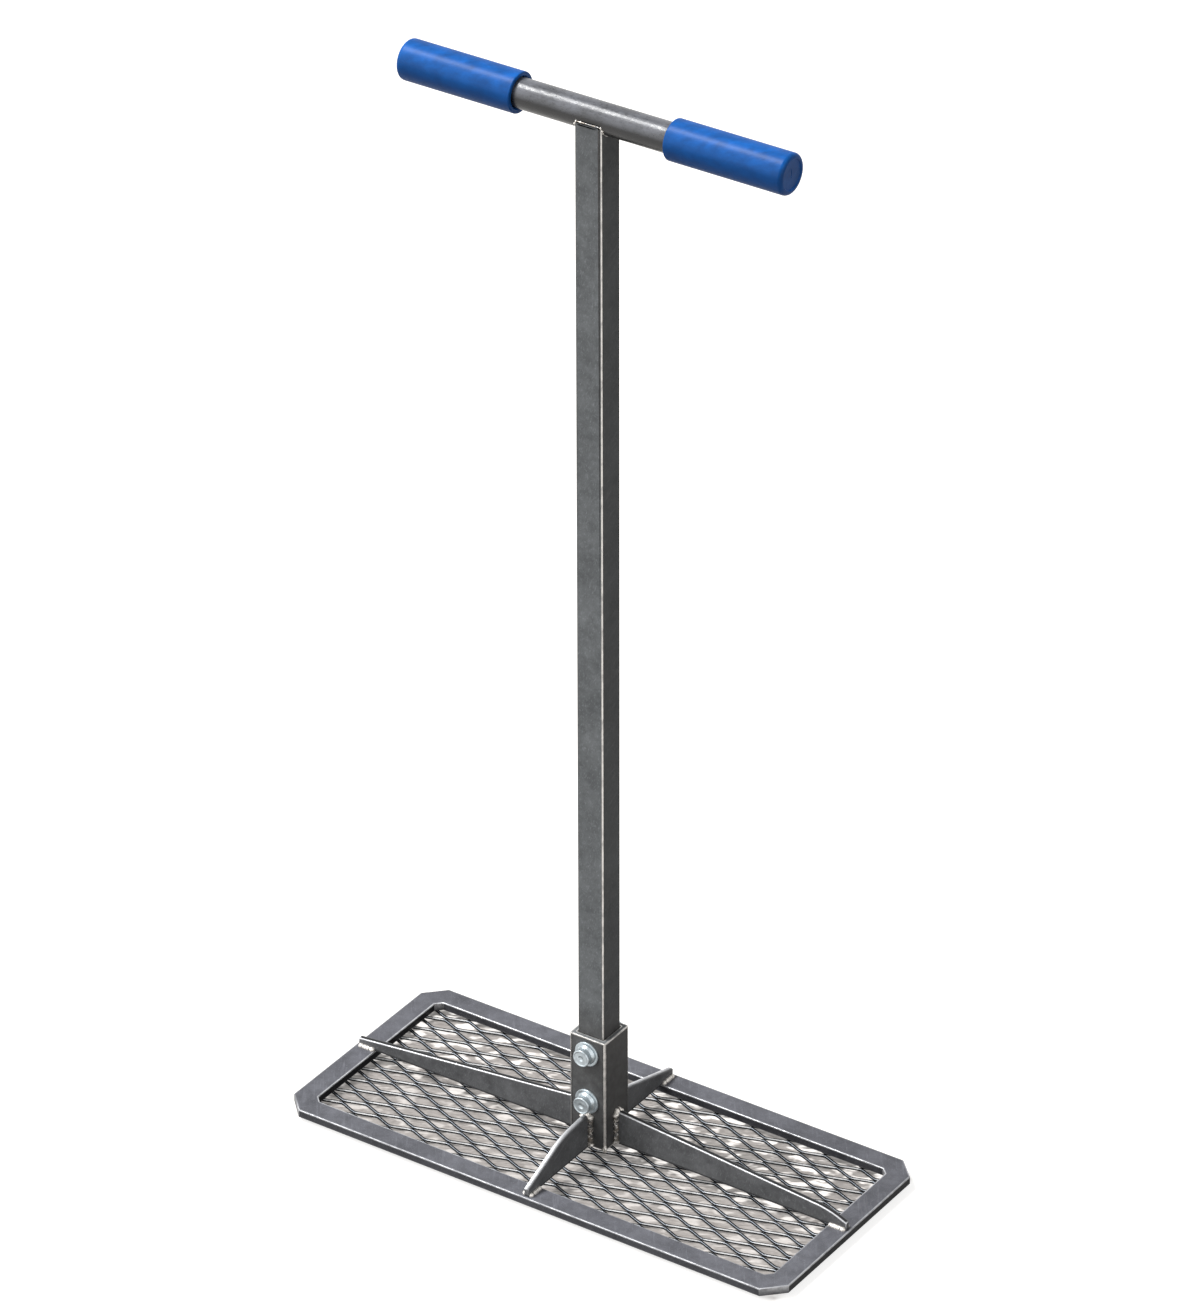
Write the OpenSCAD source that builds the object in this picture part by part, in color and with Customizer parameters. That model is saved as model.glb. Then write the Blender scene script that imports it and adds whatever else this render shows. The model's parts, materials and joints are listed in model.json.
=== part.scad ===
// Concrete tamper, also called a jitterbug. A flat steel frame with a floor of raised
// expanded mesh carries two long ribs and two short gussets, which hold a square socket.
// A square pole is bolted in the socket, under a round crossbar with plastic grips.
// Millimetres, +Z up. The origin is on the floor under the middle of the pole, X runs
// along the base's long side, and the bolt heads face -Y, the front.

/* [Base frame] */
// Length of the base along X
base_l = 630; // [500:5:760]
// Width of the base along Y
base_w = 280; // [220:5:340]
// Width of the frame's flat rails
rail_w = 25; // [20:1:32]
// Thickness of the frame
frame_t = 9.5; // [7:0.5:14]
// Cut across each outer corner, measured along a side
corner_cut = 22; // [10:1:26]
// Cut across each inner corner, measured along a side
inner_cut = 7; // [3:1:12]

/* [Expanded mesh] */
// Height of the raised mesh
mesh_t = 5; // [3:0.5:7]
// Distance from the frame's outer edge in to the mesh's edge
mesh_inset = 10; // [7:1:13]
// Cut across each corner of the mesh, measured along a side
mesh_corner_cut = 26; // [18:1:34]
// Length of one diamond, knuckle to knuckle, along X
diamond_l = 46; // [36:1:60]
// Width of one diamond, knuckle to knuckle, along Y
diamond_w = 24; // [18:1:30]
// Width of a strand, seen from above
strand_w = 2.6; // [2:0.1:3.6]

/* [Ribs and gussets] */
// Thickness of the ribs and gussets
plate_t = 6; // [5:0.5:8]
// Height of the ribs and gussets at the socket
plate_h = 41; // [36:1:50]
// Height of the ribs and gussets at their outer ends
plate_end_h = 9; // [6:1:12]
// Distance from the frame's outer edge in to a plate's end
plate_inset = 3; // [2:0.5:6]
// Distance from the right rib's end in to its bend
rib_bend_in = 22; // [16:1:40]
// Height of the right rib at its bend
rib_bend_h = 18.5; // [15:0.5:20]
// Distance from the socket out to the front gusset's bend
gusset_bend_out = 48; // [36:1:60]
// Height of the front gusset at its bend
gusset_bend_h = 37.5; // [33:0.5:38.5]

/* [Socket] */
// Wall of the socket
socket_wall = 5.8; // [4:0.1:7]
// Radius of the socket's outer corners
socket_corner_r = 2.4; // [1:0.2:3]
// Height from the upper bolt to the socket's rim
socket_rim = 19; // [17:1:30]

/* [Pole and crossbar] */
// Width of the square pole
pole_w = 32; // [28:0.5:36]
// Wall of the pole
pole_wall = 2.5; // [2:0.1:4]
// Radius of the pole's corners
pole_corner_r = 1.6; // [1:0.1:2]
// Clearance between the pole and the socket on each side
pole_gap = 0.7; // [0.3:0.1:0.9]
// Height of the pole's lower end over the socket's lower end
pole_foot = 5; // [0:1:20]
// Height of the crossbar's middle over the floor
bar_height = 1223; // [1000:1:1400]
// Outside diameter of the crossbar
bar_d = 32; // [28:0.5:36]
// Wall of the crossbar
bar_wall = 2.5; // [2:0.1:4]
// Depth below the crossbar's middle at which the pole's front and back walls end
saddle_land = 4; // [3:0.5:6]

/* [Grips] */
// Length of the handle over both grips
handle_l = 455; // [400:5:560]
// Length of each grip
grip_l = 137; // [110:1:150]
// Outside diameter of each grip
grip_d = 43.5; // [41:0.5:48]
// Thickness of a grip's closed end
grip_end_t = 6; // [4:0.5:9]
// Radius of the rounding at a grip's open end
grip_lip_r = 2.4; // [1:0.2:2.4]
// Radius of the rounding at a grip's closed end
grip_end_r = 5; // [3:0.5:6]
// Depth of the dish in a grip's closed end
grip_dish = 1.4; // [0.6:0.2:2]
// Clearance between a grip's bore and the crossbar
grip_gap = 0.1; // [0.05:0.05:0.2]

/* [Fasteners] */
// Diameter of the bolts
bolt_d = 12.7; // [10:0.1:14]
// Length of the bolts under the head
bolt_l = 64; // [62:1:80]
// Distance between the two bolts
bolt_pitch = 60; // [45:1:80]
// Clearance round a bolt in its holes
bolt_gap = 0.4; // [0.2:0.05:0.6]
// Diameter of a bolt's round head
head_d = 20; // [18.5:0.5:22]
// Height of a bolt's head with its flange
head_h = 10.4; // [8:0.2:13]
// Diameter of the flange under a bolt's head
flange_d = 23; // [22.5:0.5:26]
// Height of the flange's sloped part
flange_h = 3.4; // [2:0.2:5]
// Outside diameter of the washers
washer_d = 28.8; // [27:0.2:32]
// Thickness of the washers
washer_t = 2.4; // [1.5:0.1:4]
// Clearance between the lower bolt's washer and the front gusset
washer_gap = 1.1; // [0.5:0.1:3]
// Width of a nut across its flats
nut_w = 19; // [18:0.5:22]
// Height of a nut
nut_h = 11; // [8:0.5:12]
// Clearance between a bolt and its nut's bore
thread_gap = 0.06; // [0.03:0.01:0.1]

/* [Welds] */
// Leg of the beads between the plates and the socket
socket_bead = 5; // [3:0.5:6]
// Leg of the beads between the plates and the frame
frame_bead = 4; // [3:0.5:5]
// Leg of the stitches that hold the mesh under the frame
mesh_bead = 3; // [2:0.5:3]
// Length of each mesh stitch
stitch_l = 30; // [20:1:50]
// Radius of the beads between the pole and the crossbar
bar_bead_r = 3; // [2:0.2:3.6]

/* [Hidden] */
$fn = 48;
EPS = 0.01;
// Heights
frame_top = mesh_t + frame_t;
lower_bolt_z = frame_top + plate_h + washer_gap + washer_d / 2;
upper_bolt_z = lower_bolt_z + bolt_pitch;
socket_top = upper_bolt_z + socket_rim;
pole_bottom = frame_top + pole_foot;
pole_top = bar_height - saddle_land;
// Widths
socket_in = pole_w + 2 * pole_gap;
socket_out = socket_in + 2 * socket_wall;
socket_bore_r = 1;
bolt_hole_d = bolt_d + 2 * bolt_gap;
bar_l = handle_l - 2 * grip_end_t;
// Reach of the plates from the middle
rib_end = base_l / 2 - plate_inset;
gusset_end = base_w / 2 - plate_inset;
// Sheet of mesh, and the knuckle nearest the middle
mesh_l = base_l - 2 * mesh_inset;
mesh_w = base_w - 2 * mesh_inset;
knuckle_at = [-20, -3];
// Mesh stitches along a long side and along a short side
long_stitches = 5;
short_stitches = 2;
// Small breaks of edge
head_round = 1.6;
bolt_tip = 1.2;
nut_break = 1.6;
mouth_flare = 1.4;
// Distance from a bead's end to the end of its corner, and from the middle of a bead on the
// pole in to the pole's face
bead_stop = 1;
bead_sink = 1;
// Height of the upright rim of a bolt's flange
flange_rim = flange_h / 3;

BLUE = "#2060b8";
DARK_STEEL = "#3c3d3f";
GREY_STEEL = "#6b6e75";
BAR_STEEL = "#8d8f94";
MESH_STEEL = "#5a626c";
ZINC = "#b9c4c9";
WELD = "#a39a90";

// A rectangle centred on the origin, with its four corners cut off
module cut_rectangle(l, w, cut) {
    x = l / 2;
    y = w / 2;
    polygon([
        [x - cut, -y], [x, -y + cut], [x, y - cut], [x - cut, y],
        [-x + cut, y], [-x, y - cut], [-x, -y + cut], [-x + cut, -y]
    ]);
}

// A square centred on the origin, with its corners rounded by true arcs
module round_square(w, r) {
    square([w, w - 2 * r], center = true);
    square([w - 2 * r, w], center = true);
    for (x = [-1, 1], y = [-1, 1])
        translate([x, y] * (w / 2 - r)) circle(r);
}

// A bead of triangular section that runs along +X in the corner of a floor and a wall.
// side is 1 where the floor lies on the wall's +Y side, and -1 on its -Y side.
module corner_bead(leg, length, side) {
    rotate([90, 0, 90])
        linear_extrude(length)
            polygon([[0, 0], [side * leg, 0], [0, leg]]);
}

// Turns its children so that their +Z points at the front, -Y, from the height z
module facing_front(y, z) {
    translate([0, y, z]) rotate([90, 0, 0]) children();
}

module base_frame() {
    color(GREY_STEEL) translate([0, 0, mesh_t]) linear_extrude(frame_t) difference() {
        cut_rectangle(base_l, base_w, corner_cut);
        cut_rectangle(base_l - 2 * rail_w, base_w - 2 * rail_w, inner_cut);
    }
}

// One open diamond of the mesh, drawn in by half a strand on each side
module diamond_gap() {
    a = diamond_l / 2;
    b = diamond_w / 2;
    open = 1 - strand_w / 2 * norm([a, b]) / (a * b);
    polygon([[a, 0], [0, b], [-a, 0], [0, -b]] * open);
}

// The middle of one knuckle, where four strands meet
function knuckle(row, column) = knuckle_at + [
    (column + (row % 2 == 0 ? 0 : 0.5)) * diamond_l,
    row * diamond_w / 2
];

// Whether a point lies on the sheet of mesh
function on_sheet(p) =
    abs(p[0]) < mesh_l / 2 && abs(p[1]) < mesh_w / 2
    && abs(p[0]) + abs(p[1]) < (mesh_l + mesh_w) / 2 - mesh_corner_cut;

// Whether a point lies within one diamond of a corner of the sheet
function by_corner(p) =
    abs(abs(p[0]) - mesh_l / 2) < diamond_l && abs(abs(p[1]) - mesh_w / 2) < diamond_l;

// One strand between two knuckles
module strand(from, to) {
    across = [from[1] - to[1], to[0] - from[0]] / norm(to - from) * strand_w / 2;
    polygon([from - across, to - across, to + across, from + across]);
}

// The corner strands that would hang loose, since neither of their knuckles is on the sheet
module loose_strands(rows, columns) {
    for (row = [-rows:rows], column = [-columns:columns], side = [-1, 1]) {
        from = knuckle(row, column);
        to = from + [side * diamond_l, diamond_w] / 2;
        if (by_corner((from + to) / 2) && !on_sheet(from) && !on_sheet(to))
            strand(from, to);
    }
}

module expanded_mesh() {
    columns = ceil(mesh_l / diamond_l / 2) + 2;
    rows = ceil(mesh_w / diamond_w) + 2;
    color(MESH_STEEL) linear_extrude(mesh_t) difference() {
        cut_rectangle(mesh_l, mesh_w, mesh_corner_cut);
        for (row = [-rows:rows], column = [-columns:columns]) {
            middle = knuckle(row, column) + [diamond_l / 2, 0];
            if (abs(middle[0]) < (mesh_l + diamond_l) / 2
                && abs(middle[1]) < (mesh_w + diamond_w) / 2)
                translate(middle) diamond_gap();
        }
        loose_strands(rows, columns);
    }
}

// Stitches in the corner between the mesh's edge and the frame's underside
module mesh_stitches() {
    color(WELD) for (side = [0, 1]) {
        half_l = (side == 0 ? mesh_l : mesh_w) / 2;
        half_w = (side == 0 ? mesh_w : mesh_l) / 2;
        count = side == 0 ? long_stitches : short_stitches;
        for (turn = [0, 180], i = [0:count - 1]) {
            x = half_l * (2 * i + 1 - count) / count - stitch_l / 2;
            rotate([0, 0, turn + 90 * side])
                translate([x, half_w, mesh_t])
                    mirror([0, 0, 1])
                        corner_bead(mesh_bead, stitch_l, 1);
        }
    }
}

// A tapered plate on edge, from the socket to reach along +X. bend is its place along X
// and its height there.
module tapered_plate(reach, bend) {
    color(DARK_STEEL)
        translate([0, plate_t / 2, frame_top])
            rotate([90, 0, 0])
                linear_extrude(plate_t)
                    polygon([
                        [socket_out / 2, 0], [reach, 0], [reach, plate_end_h],
                        bend, [socket_out / 2, plate_h]
                    ]);
}

// The point halfway along a straight taper, for a plate with no bend
function straight_at(reach) = [
    (socket_out / 2 + reach) / 2,
    (plate_h + plate_end_h) / 2
];

module right_rib() {
    tapered_plate(rib_end, [rib_end - rib_bend_in, rib_bend_h]);
}

module left_rib() {
    rotate([0, 0, 180]) tapered_plate(rib_end, straight_at(rib_end));
}

module front_gusset() {
    rotate([0, 0, -90])
        tapered_plate(gusset_end, [socket_out / 2 + gusset_bend_out, gusset_bend_h]);
}

module back_gusset() {
    rotate([0, 0, 90]) tapered_plate(gusset_end, straight_at(gusset_end));
}

// Beads on both sides of each plate, where its end lies on the frame
module plate_frame_welds() {
    color(WELD) for (turn = [0, 90, 180, 270], side = [-1, 1]) {
        half = (turn % 180 == 0 ? base_l : base_w) / 2;
        rotate([0, 0, turn])
            translate([half - rail_w + bead_stop, side * plate_t / 2, frame_top])
                corner_bead(frame_bead, rail_w - plate_inset - 2 * bead_stop, side);
    }
}

module socket() {
    color(DARK_STEEL) difference() {
        translate([0, 0, frame_top]) linear_extrude(socket_top - frame_top) difference() {
            round_square(socket_out, socket_corner_r);
            round_square(socket_in, socket_bore_r);
        }
        for (z = [lower_bolt_z, upper_bolt_z])
            facing_front(socket_out, z) cylinder(d = bolt_hole_d, h = 2 * socket_out);
    }
}

// Upright beads on both sides of each plate, where it meets the socket
module plate_socket_welds() {
    color(WELD) for (turn = [0, 90, 180, 270], side = [-1, 1])
        rotate([0, 0, turn])
            translate([socket_out / 2, side * plate_t / 2, frame_top + bead_stop])
                linear_extrude(plate_h - 2 * bead_stop)
                    polygon([[0, 0], [socket_bead, 0], [0, side * socket_bead]]);
}

// A round bar along X at the crossbar's height, for the crossbar and for what is cut to fit it
module bar_body(d, length) {
    translate([-length / 2, 0, bar_height])
        rotate([0, 90, 0])
            cylinder(d = d, h = length);
}

module pole() {
    color(DARK_STEEL) difference() {
        translate([0, 0, pole_bottom]) linear_extrude(pole_top - pole_bottom) difference() {
            round_square(pole_w, pole_corner_r);
            square(pole_w - 2 * pole_wall, center = true);
        }
        bar_body(bar_d, 2 * pole_w);
        for (z = [lower_bolt_z, upper_bolt_z])
            facing_front(pole_w, z) cylinder(d = bolt_hole_d, h = 2 * pole_w);
    }
}

module crossbar() {
    color(BAR_STEEL) difference() {
        bar_body(bar_d, bar_l);
        bar_body(bar_d - 2 * bar_wall, bar_l + 2 * EPS);
    }
}

// Beads along the top of the pole's front and back walls, against the crossbar
module pole_crossbar_welds() {
    color(WELD) difference() {
        for (side = [-1, 1])
            translate([-pole_w / 2, side * (pole_w / 2 - bead_sink), pole_top + bar_bead_r])
                rotate([0, 90, 0])
                    cylinder(r = bar_bead_r, h = pole_w);
        bar_body(bar_d, 2 * pole_w);
        translate([0, 0, pole_top - pole_w])
            linear_extrude(pole_w)
                square(pole_w, center = true);
    }
}

// A closed sleeve with its open end at the origin and its closed end up
module grip_body() {
    r = grip_d / 2;
    color(BLUE) rotate_extrude() difference() {
        union() {
            translate([0, grip_lip_r])
                square([r, grip_l - grip_lip_r - grip_end_r]);
            square([r - grip_lip_r, grip_l / 2]);
            translate([0, grip_l / 2])
                square([r - grip_end_r, grip_l / 2]);
            translate([r - grip_lip_r, grip_lip_r])
                circle(grip_lip_r);
            translate([r - grip_end_r, grip_l - grip_end_r])
                circle(grip_end_r);
        }
        translate([-r, -EPS])
            square([r + bar_d / 2 + grip_gap, grip_l - grip_end_t + EPS]);
        translate([bar_d / 2, 0])
            polygon([[-EPS, -EPS], [mouth_flare, -EPS], [-EPS, mouth_flare]]);
        translate([-r, grip_l - grip_dish])
            square([2 * r - grip_end_r, grip_l]);
    }
}

module right_grip() {
    translate([handle_l / 2 - grip_l, 0, bar_height]) rotate([0, 90, 0]) grip_body();
}

module left_grip() {
    mirror([1, 0, 0]) right_grip();
}

// A bolt along Z with the underside of its head at the origin and its head up
module bolt_body() {
    r = head_d / 2;
    color(ZINC) rotate_extrude() {
        polygon([
            [0, 0], [flange_d / 2, 0], [flange_d / 2, flange_rim],
            [r, flange_h], [0, flange_h]
        ]);
        square([r, head_h - head_round]);
        square([r - head_round, head_h]);
        translate([r - head_round, head_h - head_round]) circle(head_round);
        translate([0, -bolt_l + bolt_tip]) square([bolt_d / 2, bolt_l]);
        polygon([
            [0, -bolt_l], [bolt_d / 2 - bolt_tip, -bolt_l],
            [bolt_d / 2, -bolt_l + bolt_tip], [0, -bolt_l + bolt_tip]
        ]);
    }
}

module washer_body() {
    color(ZINC) linear_extrude(washer_t) difference() {
        circle(d = washer_d);
        circle(d = bolt_hole_d);
    }
}

// A hexagon nut with its corners broken on both faces
module nut_body() {
    corner_r = nut_w / 2 / cos(30);
    face_r = nut_w / 2;
    color(ZINC) difference() {
        intersection() {
            cylinder(r = corner_r, h = nut_h, $fn = 6);
            rotate_extrude() polygon([
                [0, 0], [face_r, 0], [corner_r, nut_break],
                [corner_r, nut_h - nut_break], [face_r, nut_h], [0, nut_h]
            ]);
        }
        translate([0, 0, -EPS])
            cylinder(d = bolt_d + 2 * thread_gap, h = nut_h + 2 * EPS);
    }
}

module bolt_at(z) {
    facing_front(-socket_out / 2 - washer_t, z) bolt_body();
}

module head_washer_at(z) {
    facing_front(-socket_out / 2, z) washer_body();
}

module nut_washer_at(z) {
    facing_front(socket_out / 2 + washer_t, z) washer_body();
}

module nut_at(z) {
    facing_front(socket_out / 2 + washer_t + nut_h, z) nut_body();
}

base_frame();
expanded_mesh();
mesh_stitches();
left_rib();
right_rib();
front_gusset();
back_gusset();
plate_frame_welds();
socket();
plate_socket_welds();
pole();
crossbar();
pole_crossbar_welds();
left_grip();
right_grip();
bolt_at(upper_bolt_z);  // upper_bolt
head_washer_at(upper_bolt_z);  // upper_head_washer
nut_washer_at(upper_bolt_z);  // upper_nut_washer
nut_at(upper_bolt_z);  // upper_nut
bolt_at(lower_bolt_z);  // lower_bolt
head_washer_at(lower_bolt_z);  // lower_head_washer
nut_washer_at(lower_bolt_z);  // lower_nut_washer
nut_at(lower_bolt_z);  // lower_nut
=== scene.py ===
import json
import math

import bmesh
import bpy
from mathutils import Matrix, Vector

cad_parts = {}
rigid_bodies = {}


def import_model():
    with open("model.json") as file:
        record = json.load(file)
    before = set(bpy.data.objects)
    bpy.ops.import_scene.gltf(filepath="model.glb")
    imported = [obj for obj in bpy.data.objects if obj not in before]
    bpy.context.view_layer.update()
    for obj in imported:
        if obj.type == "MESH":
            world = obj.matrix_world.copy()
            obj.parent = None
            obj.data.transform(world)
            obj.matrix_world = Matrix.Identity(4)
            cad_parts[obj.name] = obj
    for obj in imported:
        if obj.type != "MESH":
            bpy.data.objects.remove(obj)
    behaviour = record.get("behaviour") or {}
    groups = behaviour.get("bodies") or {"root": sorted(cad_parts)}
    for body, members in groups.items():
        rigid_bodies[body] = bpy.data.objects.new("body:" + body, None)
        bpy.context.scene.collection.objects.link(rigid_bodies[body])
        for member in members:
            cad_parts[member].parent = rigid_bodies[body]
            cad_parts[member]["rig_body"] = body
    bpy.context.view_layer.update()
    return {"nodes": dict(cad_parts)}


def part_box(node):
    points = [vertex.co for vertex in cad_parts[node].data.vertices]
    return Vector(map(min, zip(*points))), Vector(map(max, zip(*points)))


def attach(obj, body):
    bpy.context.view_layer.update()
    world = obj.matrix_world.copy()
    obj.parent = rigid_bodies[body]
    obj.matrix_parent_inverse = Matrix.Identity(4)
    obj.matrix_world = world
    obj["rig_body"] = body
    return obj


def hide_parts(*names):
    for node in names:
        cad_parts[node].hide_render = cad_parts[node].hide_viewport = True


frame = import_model()

bl_info = {
    "name": "Concrete Tamper",
    "version": (1, 0, 0),
    "blender": (4, 5, 0),
    "location": "3D View > Sidebar > Tamper",
    "description": "Gives the concrete tamper its worn steel, raised mesh, welds, bolts and grips",
    "category": "Object",
}

MM = 0.001
NODES = frame["nodes"]
BODY_OF = {name: node["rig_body"] for name, node in NODES.items()}
LEVELS = ("upper", "lower")

# Kinds of node that are used often. Mix takes its share as socket 0, and two colours as 6 and
# 7 or two numbers as 2 and 3. Map Range takes a value, from low, from high, to low and to high
MATH, MIX, RANGE = "ShaderNodeMath", "ShaderNodeMix", "ShaderNodeMapRange"
NOISE, MAPPING, SPLIT = "ShaderNodeTexNoise", "ShaderNodeMapping", "ShaderNodeSeparateXYZ"


def linear(code):
    """An sRGB hex colour as the linear red, green and blue that the shaders take."""
    parts = [int(code[i:i + 2], 16) / 255 for i in (1, 3, 5)]
    return [c / 12.92 if c <= 0.04045 else ((c + 0.055) / 1.055) ** 2.4 for c in parts]


def color_setting(name, code, description):
    return bpy.props.FloatVectorProperty(
        name=name, description=description, default=linear(code),
        subtype="COLOR", size=3, min=0, max=1)


def length_setting(name, millimetres, description):
    return bpy.props.FloatProperty(
        name=name, description=description, default=millimetres * MM,
        subtype="DISTANCE", unit="LENGTH", min=0)


def light_setting(name, strength, description):
    return bpy.props.FloatProperty(name=name, description=description, default=strength, min=0)


class TamperColors(bpy.types.PropertyGroup):
    """Colours of the tamper's metals and plastic."""
    frame_scale: color_setting("Frame Scale", "#68696f", "Mill scale on the base frame")
    plate_scale: color_setting("Plate Scale", "#77787a", "Mill scale on the ribs and gussets")
    tube_scale: color_setting("Tube Scale", "#75787a", "Mill scale on the socket and pole")
    # Colour of the worn edges, which on the frame and plates also stands as painted highlight
    bare_edge_and_highlight: color_setting("Bare Edge", "#d8d9dc", "Rubbed edges of the base and plates")
    bare_corner: color_setting("Bare Corner", "#d5d2ce", "Rubbed corners of the square tubes")
    # Painted highlights on the middles of the mesh's strands
    leading_strand_highlight: color_setting("Leading Strand", "#eeeeee", "Mesh strands rubbed brightest")
    other_strand_highlight: color_setting("Other Strand", "#c2cad4", "Mesh strands rubbed least")
    bar_steel: color_setting("Bar Steel", "#53555b", "Drawn steel of the crossbar")
    # Painted highlight on the beads' crests and painted shade in their grooves
    bead_highlight: color_setting("Bead Bright", "#f2ede6", "Crests of the weld beads")
    bead_groove_shade: color_setting("Bead Dark", "#282523", "Grooves of the weld beads")
    zinc: color_setting("Zinc", "#c2ccd1", "Zinc plate of the bolts, nuts and washers")
    grip: color_setting("Grip", "#105bab", "Blue vinyl of the hand grips")


class TamperSizes(bpy.types.PropertyGroup):
    """Sizes of the detail that the plain solids leave out."""
    edge_radius: length_setting("Edge Radius", 0.7, "Rounding of the plates' and frame's edges")
    diamond_length: length_setting("Diamond Length", 46, "Knuckle to knuckle along X")
    diamond_width: length_setting("Diamond Width", 24, "Knuckle to knuckle along Y")
    worn_band: length_setting("Worn Band", 1.1, "How far the rub fades in from an edge")
    strand_width: length_setting("Strand Width", 3.3, "Width of one strand of the mesh")
    sheet_thickness: length_setting("Sheet Thickness", 2.0, "Thickness of the mesh's sheet")
    mesh_corner_cut: length_setting("Mesh Corner Cut", 26, "Cut across each mesh corner")
    strand_tilt: bpy.props.FloatProperty(
        name="Strand Tilt", description="Turn of the strands out of the sheet's plane",
        default=math.radians(36), subtype="ANGLE", unit="ROTATION")
    ripple_pitch: length_setting("Ripple Pitch", 2.0, "Distance between a weld's ripples")
    thread_pitch: length_setting("Thread Pitch", 1.954, "Pitch of the bolts' thread")
    thread_length: length_setting("Thread Length", 32, "Length of thread on each bolt")


class TamperStage(bpy.types.PropertyGroup):
    """Light, floor and camera."""
    top_light: light_setting("Top Light", 2.83, "Strength of the soft light from overhead")
    left_light: light_setting("Left Light", 1.5, "Strength of the soft light from the front left")
    right_light: light_setting("Right Light", 0.85, "Strength of the soft light from the right")
    back_light: light_setting("Back Light", 0.3, "Strength of the soft light from behind")
    room_light: light_setting("Room Light", 0.15, "Strength of the light from all round")
    focal_length: bpy.props.FloatProperty(
        name="Focal Length", description="Lens of the camera, in millimetres",
        default=204.43, unit="CAMERA", min=1)


class TamperSettings(bpy.types.PropertyGroup):
    """All the settings of the tamper."""
    colors: bpy.props.PointerProperty(type=TamperColors)
    sizes: bpy.props.PointerProperty(type=TamperSizes)
    stage: bpy.props.PointerProperty(type=TamperStage)


def adder(tree):
    """The function that adds nodes to a tree."""
    def add(kind, inputs=(), **settings):
        """Adds one node with its settings. inputs gives its sockets, in order or by name or
        number, each a value, another node's output, or a node whose one output is meant."""
        made = tree.nodes.new(kind)
        for name, value in settings.items():
            setattr(made, name, value)
        for key, value in inputs.items() if isinstance(inputs, dict) else enumerate(inputs):
            if isinstance(value, bpy.types.Node):
                value = next(output for output in value.outputs if output.enabled)
            if isinstance(value, bpy.types.NodeSocket):
                tree.links.new(value, made.inputs[key])
            else:
                made.inputs[key].default_value = value
        return made
    return add


# Materials

MADE = {}


def per_feature(millimetres):
    """The noise scale at which one feature is this long, on coordinates in metres."""
    return 1 / (millimetres * MM)


def rgba(color, factor=1):
    """A colour, in hex or linear, made darker or lighter by a factor, as a shader takes it."""
    parts = linear(color) if isinstance(color, str) else color
    return (*[min(1, c * factor) for c in parts], 1)


def start_material(name):
    """An empty material, what adds a node to it, and the place on the object."""
    material = bpy.data.materials.new(name)
    material.use_nodes = True
    material.node_tree.nodes.clear()
    add = adder(material.node_tree)
    return material, add, add("ShaderNodeTexCoord").outputs["Object"]


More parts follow.
